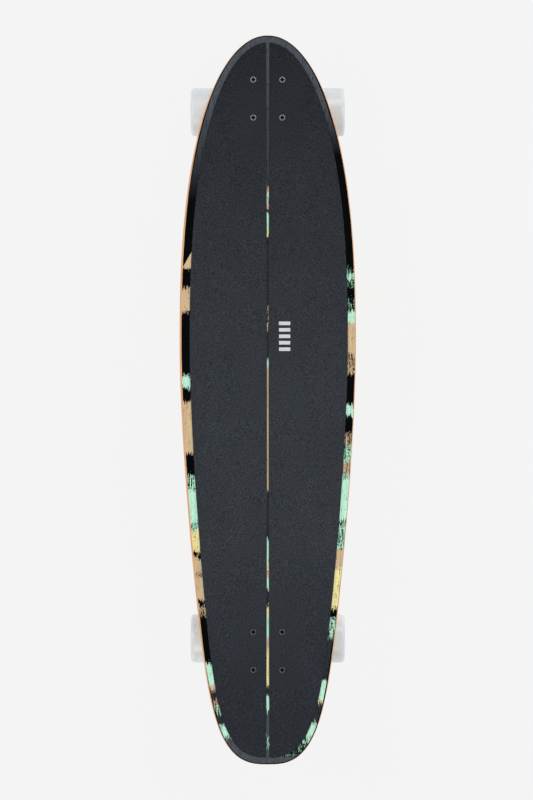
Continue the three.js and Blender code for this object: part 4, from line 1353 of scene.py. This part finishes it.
def make_truck(truck):
    title = truck.capitalize()
    hanger = f"{truck}_hanger"
    base, steering, level = truck_frames(truck)
    stand = steering @ AT_KINGPIN @ X_TO_Z
    for drawn, place, suffix, material, body, node in (
        ("riser", base, "riser_pad", "riser", "board", "riser"),
        ("baseplate", base, "baseplate_casting", "cast", "board", "baseplate"),
        ("pivot_cup", steering, "pivot_cup_liner", "cup", "board", "pivot_cup"),
        ("kingpin", stand, "kingpin_bolt", "steel", "board", "kingpin"),
        ("kingpin_nut", stand, "kingpin_lock_nut", "steel", "board", "kingpin_nut"),
        ("board_cup", stand, "board_cup_washer", "steel", "board", "board_washer"),
        ("road_cup", stand, "road_cup_washer", "steel", "board", "road_washer"),
        ("hanger", steering, "hanger_casting", "cast", hanger, "hanger"),
        ("axle", level, "axle_rod", "steel", hanger, "axle"),
    ):
        put(DRAWN[drawn], place, f"{title}_{suffix}", material, body, [f"{truck}_{node}"])
    put(DRAWN["kingpin_ring"], stand, f"{title}_kingpin_nut_ring", "insert", "board")

    # Each bushing is put on the kingpin between its washer, on the board, and the hanger's ring.
    for end, far, near in (("board", 0.0175, 0.0044), ("road", -0.0160, -0.0044)):
        name = f"{title}_{end}_bushing_urethane"
        bushing = put(DRAWN[f"{end}_bushing"], stand, name, "bushing", None, [f"{truck}_{end}_bushing"])
        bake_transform(bushing)

    for right_side, turn in ((truck == "front", 0.0), (truck == "rear", math.pi)):
        wheel_place = level @ Matrix.Rotation(turn, 4, "Z")
        make_wheel(truck, "right" if right_side else "left", wheel_place)


def make_wheel(truck, side, place):
    """One wheel with its bearings, spacer, washers and nut, drawn on the +X side."""
    name = f"{truck}_{side}"
    title = name.capitalize()
    wheel, hanger = f"{name}_wheel", f"{truck}_hanger"
    put(DRAWN["tyre"], place, f"{title}_tyre_cast", "tyre", wheel, [f"{name}_tyre"])
    put(DRAWN["core"], place, f"{title}_core_hub", "core", wheel, [f"{name}_core"])
    put(DRAWN["spacer"], place, f"{title}_bearing_spacer", "steel", hanger, [f"{name}_spacer"])
    for end, start in (("inner", INNER_BEARING), ("outer", OUTER_BEARING)):
        seat = place @ Matrix.Translation((start, 0, 0))
        bearing = f"{title}_{end}_bearing"
        put(DRAWN["outer_race"], seat, f"{bearing}_outer_race", "race", wheel, [f"{name}_{end}_bearing"])
        put(DRAWN["inner_race"], seat, f"{bearing}_inner_race", "race", hanger)
        put(DRAWN["seals"], seat, f"{bearing}_seals", "seal", wheel)
    for end, start in (("inner", HANGER_END), ("outer", CORE_MIDDLE + CORE_HALF)):
        seat = place @ Matrix.Translation((start, 0, 0))
        put(DRAWN["washer"], seat, f"{title}_{end}_axle_washer", "steel", hanger)
    put(DRAWN["axle_nut"], place, f"{title}_axle_lock_nut", "steel", hanger, [f"{name}_axle_nut"])
    put(DRAWN["axle_ring"], place, f"{title}_axle_nut_ring", "insert", hanger)


# ---------------------------------------------------------------- the object

make_deck()
make_grip("Grip_left", -1)
make_grip("Grip_right", 1)
make_deck_bolts()
make_truck("front")
make_truck("rear")
delete(DRAWN.values())


# ---------------------------------------------------------------- stage, light and camera

def make_floor():
    s = Surface("Floor_white", Roughness=0.9, Specular_IOR_Level=0.0)
    mottle = s.between(s.noise(s.stretched(3, 3, 3)), 0.3, 0.7, 0.038, 0.042)
    s.colour(s.grey(mottle))
    s.shader.inputs["Emission Color"].default_value = (1, 1, 1, 1)
    s.shader.inputs["Emission Strength"].default_value = FLOOR_GLOW
    half = FLOOR_SIZE / 2
    corners = [(-half, -half, 0), (half, -half, 0), (half, half, 0), (-half, half, 0)]
    floor = object_from("Floor", corners, [[0, 1, 2, 3]], smooth=False)
    floor.data.materials.append(s.material)


def make_light(name, place, size, power):
    light = bpy.data.lights.new(name, "AREA")
    light.shape = "SQUARE"
    light.size = size
    light.energy = power
    lamp = bpy.data.objects.new(name, light)
    lamp.location = place
    lamp.rotation_euler = (Vector((0, 0, 0.1)) - Vector(place)).to_track_quat("-Z", "Y").to_euler()
    bpy.context.scene.collection.objects.link(lamp)


FLOOR_SIZE = 12.0
FLOOR_GLOW = 0.868
SOFTBOX_PLACES = [(2.3, 0.6), (-2.3, 0.6), (0.6, 2.5), (-0.6, -2.5)]
SOFTBOX_HEIGHT = 2.3
SOFTBOX_SIZE = 1.8
SOFTBOX_POWER = 30.0
WORLD_LIGHT = 0.26
CAMERA_HEIGHT = 4.0
FRAME_HEIGHT = 1.140  # what the camera sees along Y at the deck
SENSOR = 36.0

make_floor()
for number, (x, y) in enumerate(SOFTBOX_PLACES, 1):
    make_light(f"Softbox_{number}", (x, y, SOFTBOX_HEIGHT), SOFTBOX_SIZE, SOFTBOX_POWER)
world = bpy.data.worlds.new("Studio")
world.use_nodes = True
world.node_tree.nodes["Background"].inputs[0].default_value = (1, 1, 1, 1)
world.node_tree.nodes["Background"].inputs[1].default_value = WORLD_LIGHT
bpy.context.scene.world = world
bpy.context.scene.view_settings.view_transform = "Standard"

camera_data = bpy.data.cameras.new("Camera")
camera_data.sensor_width = SENSOR
camera_data.lens = SENSOR * CAMERA_HEIGHT / FRAME_HEIGHT
camera_data.clip_end = 50
camera = bpy.data.objects.new("Camera", camera_data)
camera.location = (-0.0018, -0.0012, DECK_TOP + CAMERA_HEIGHT)
bpy.context.scene.collection.objects.link(camera)
bpy.context.scene.camera = camera
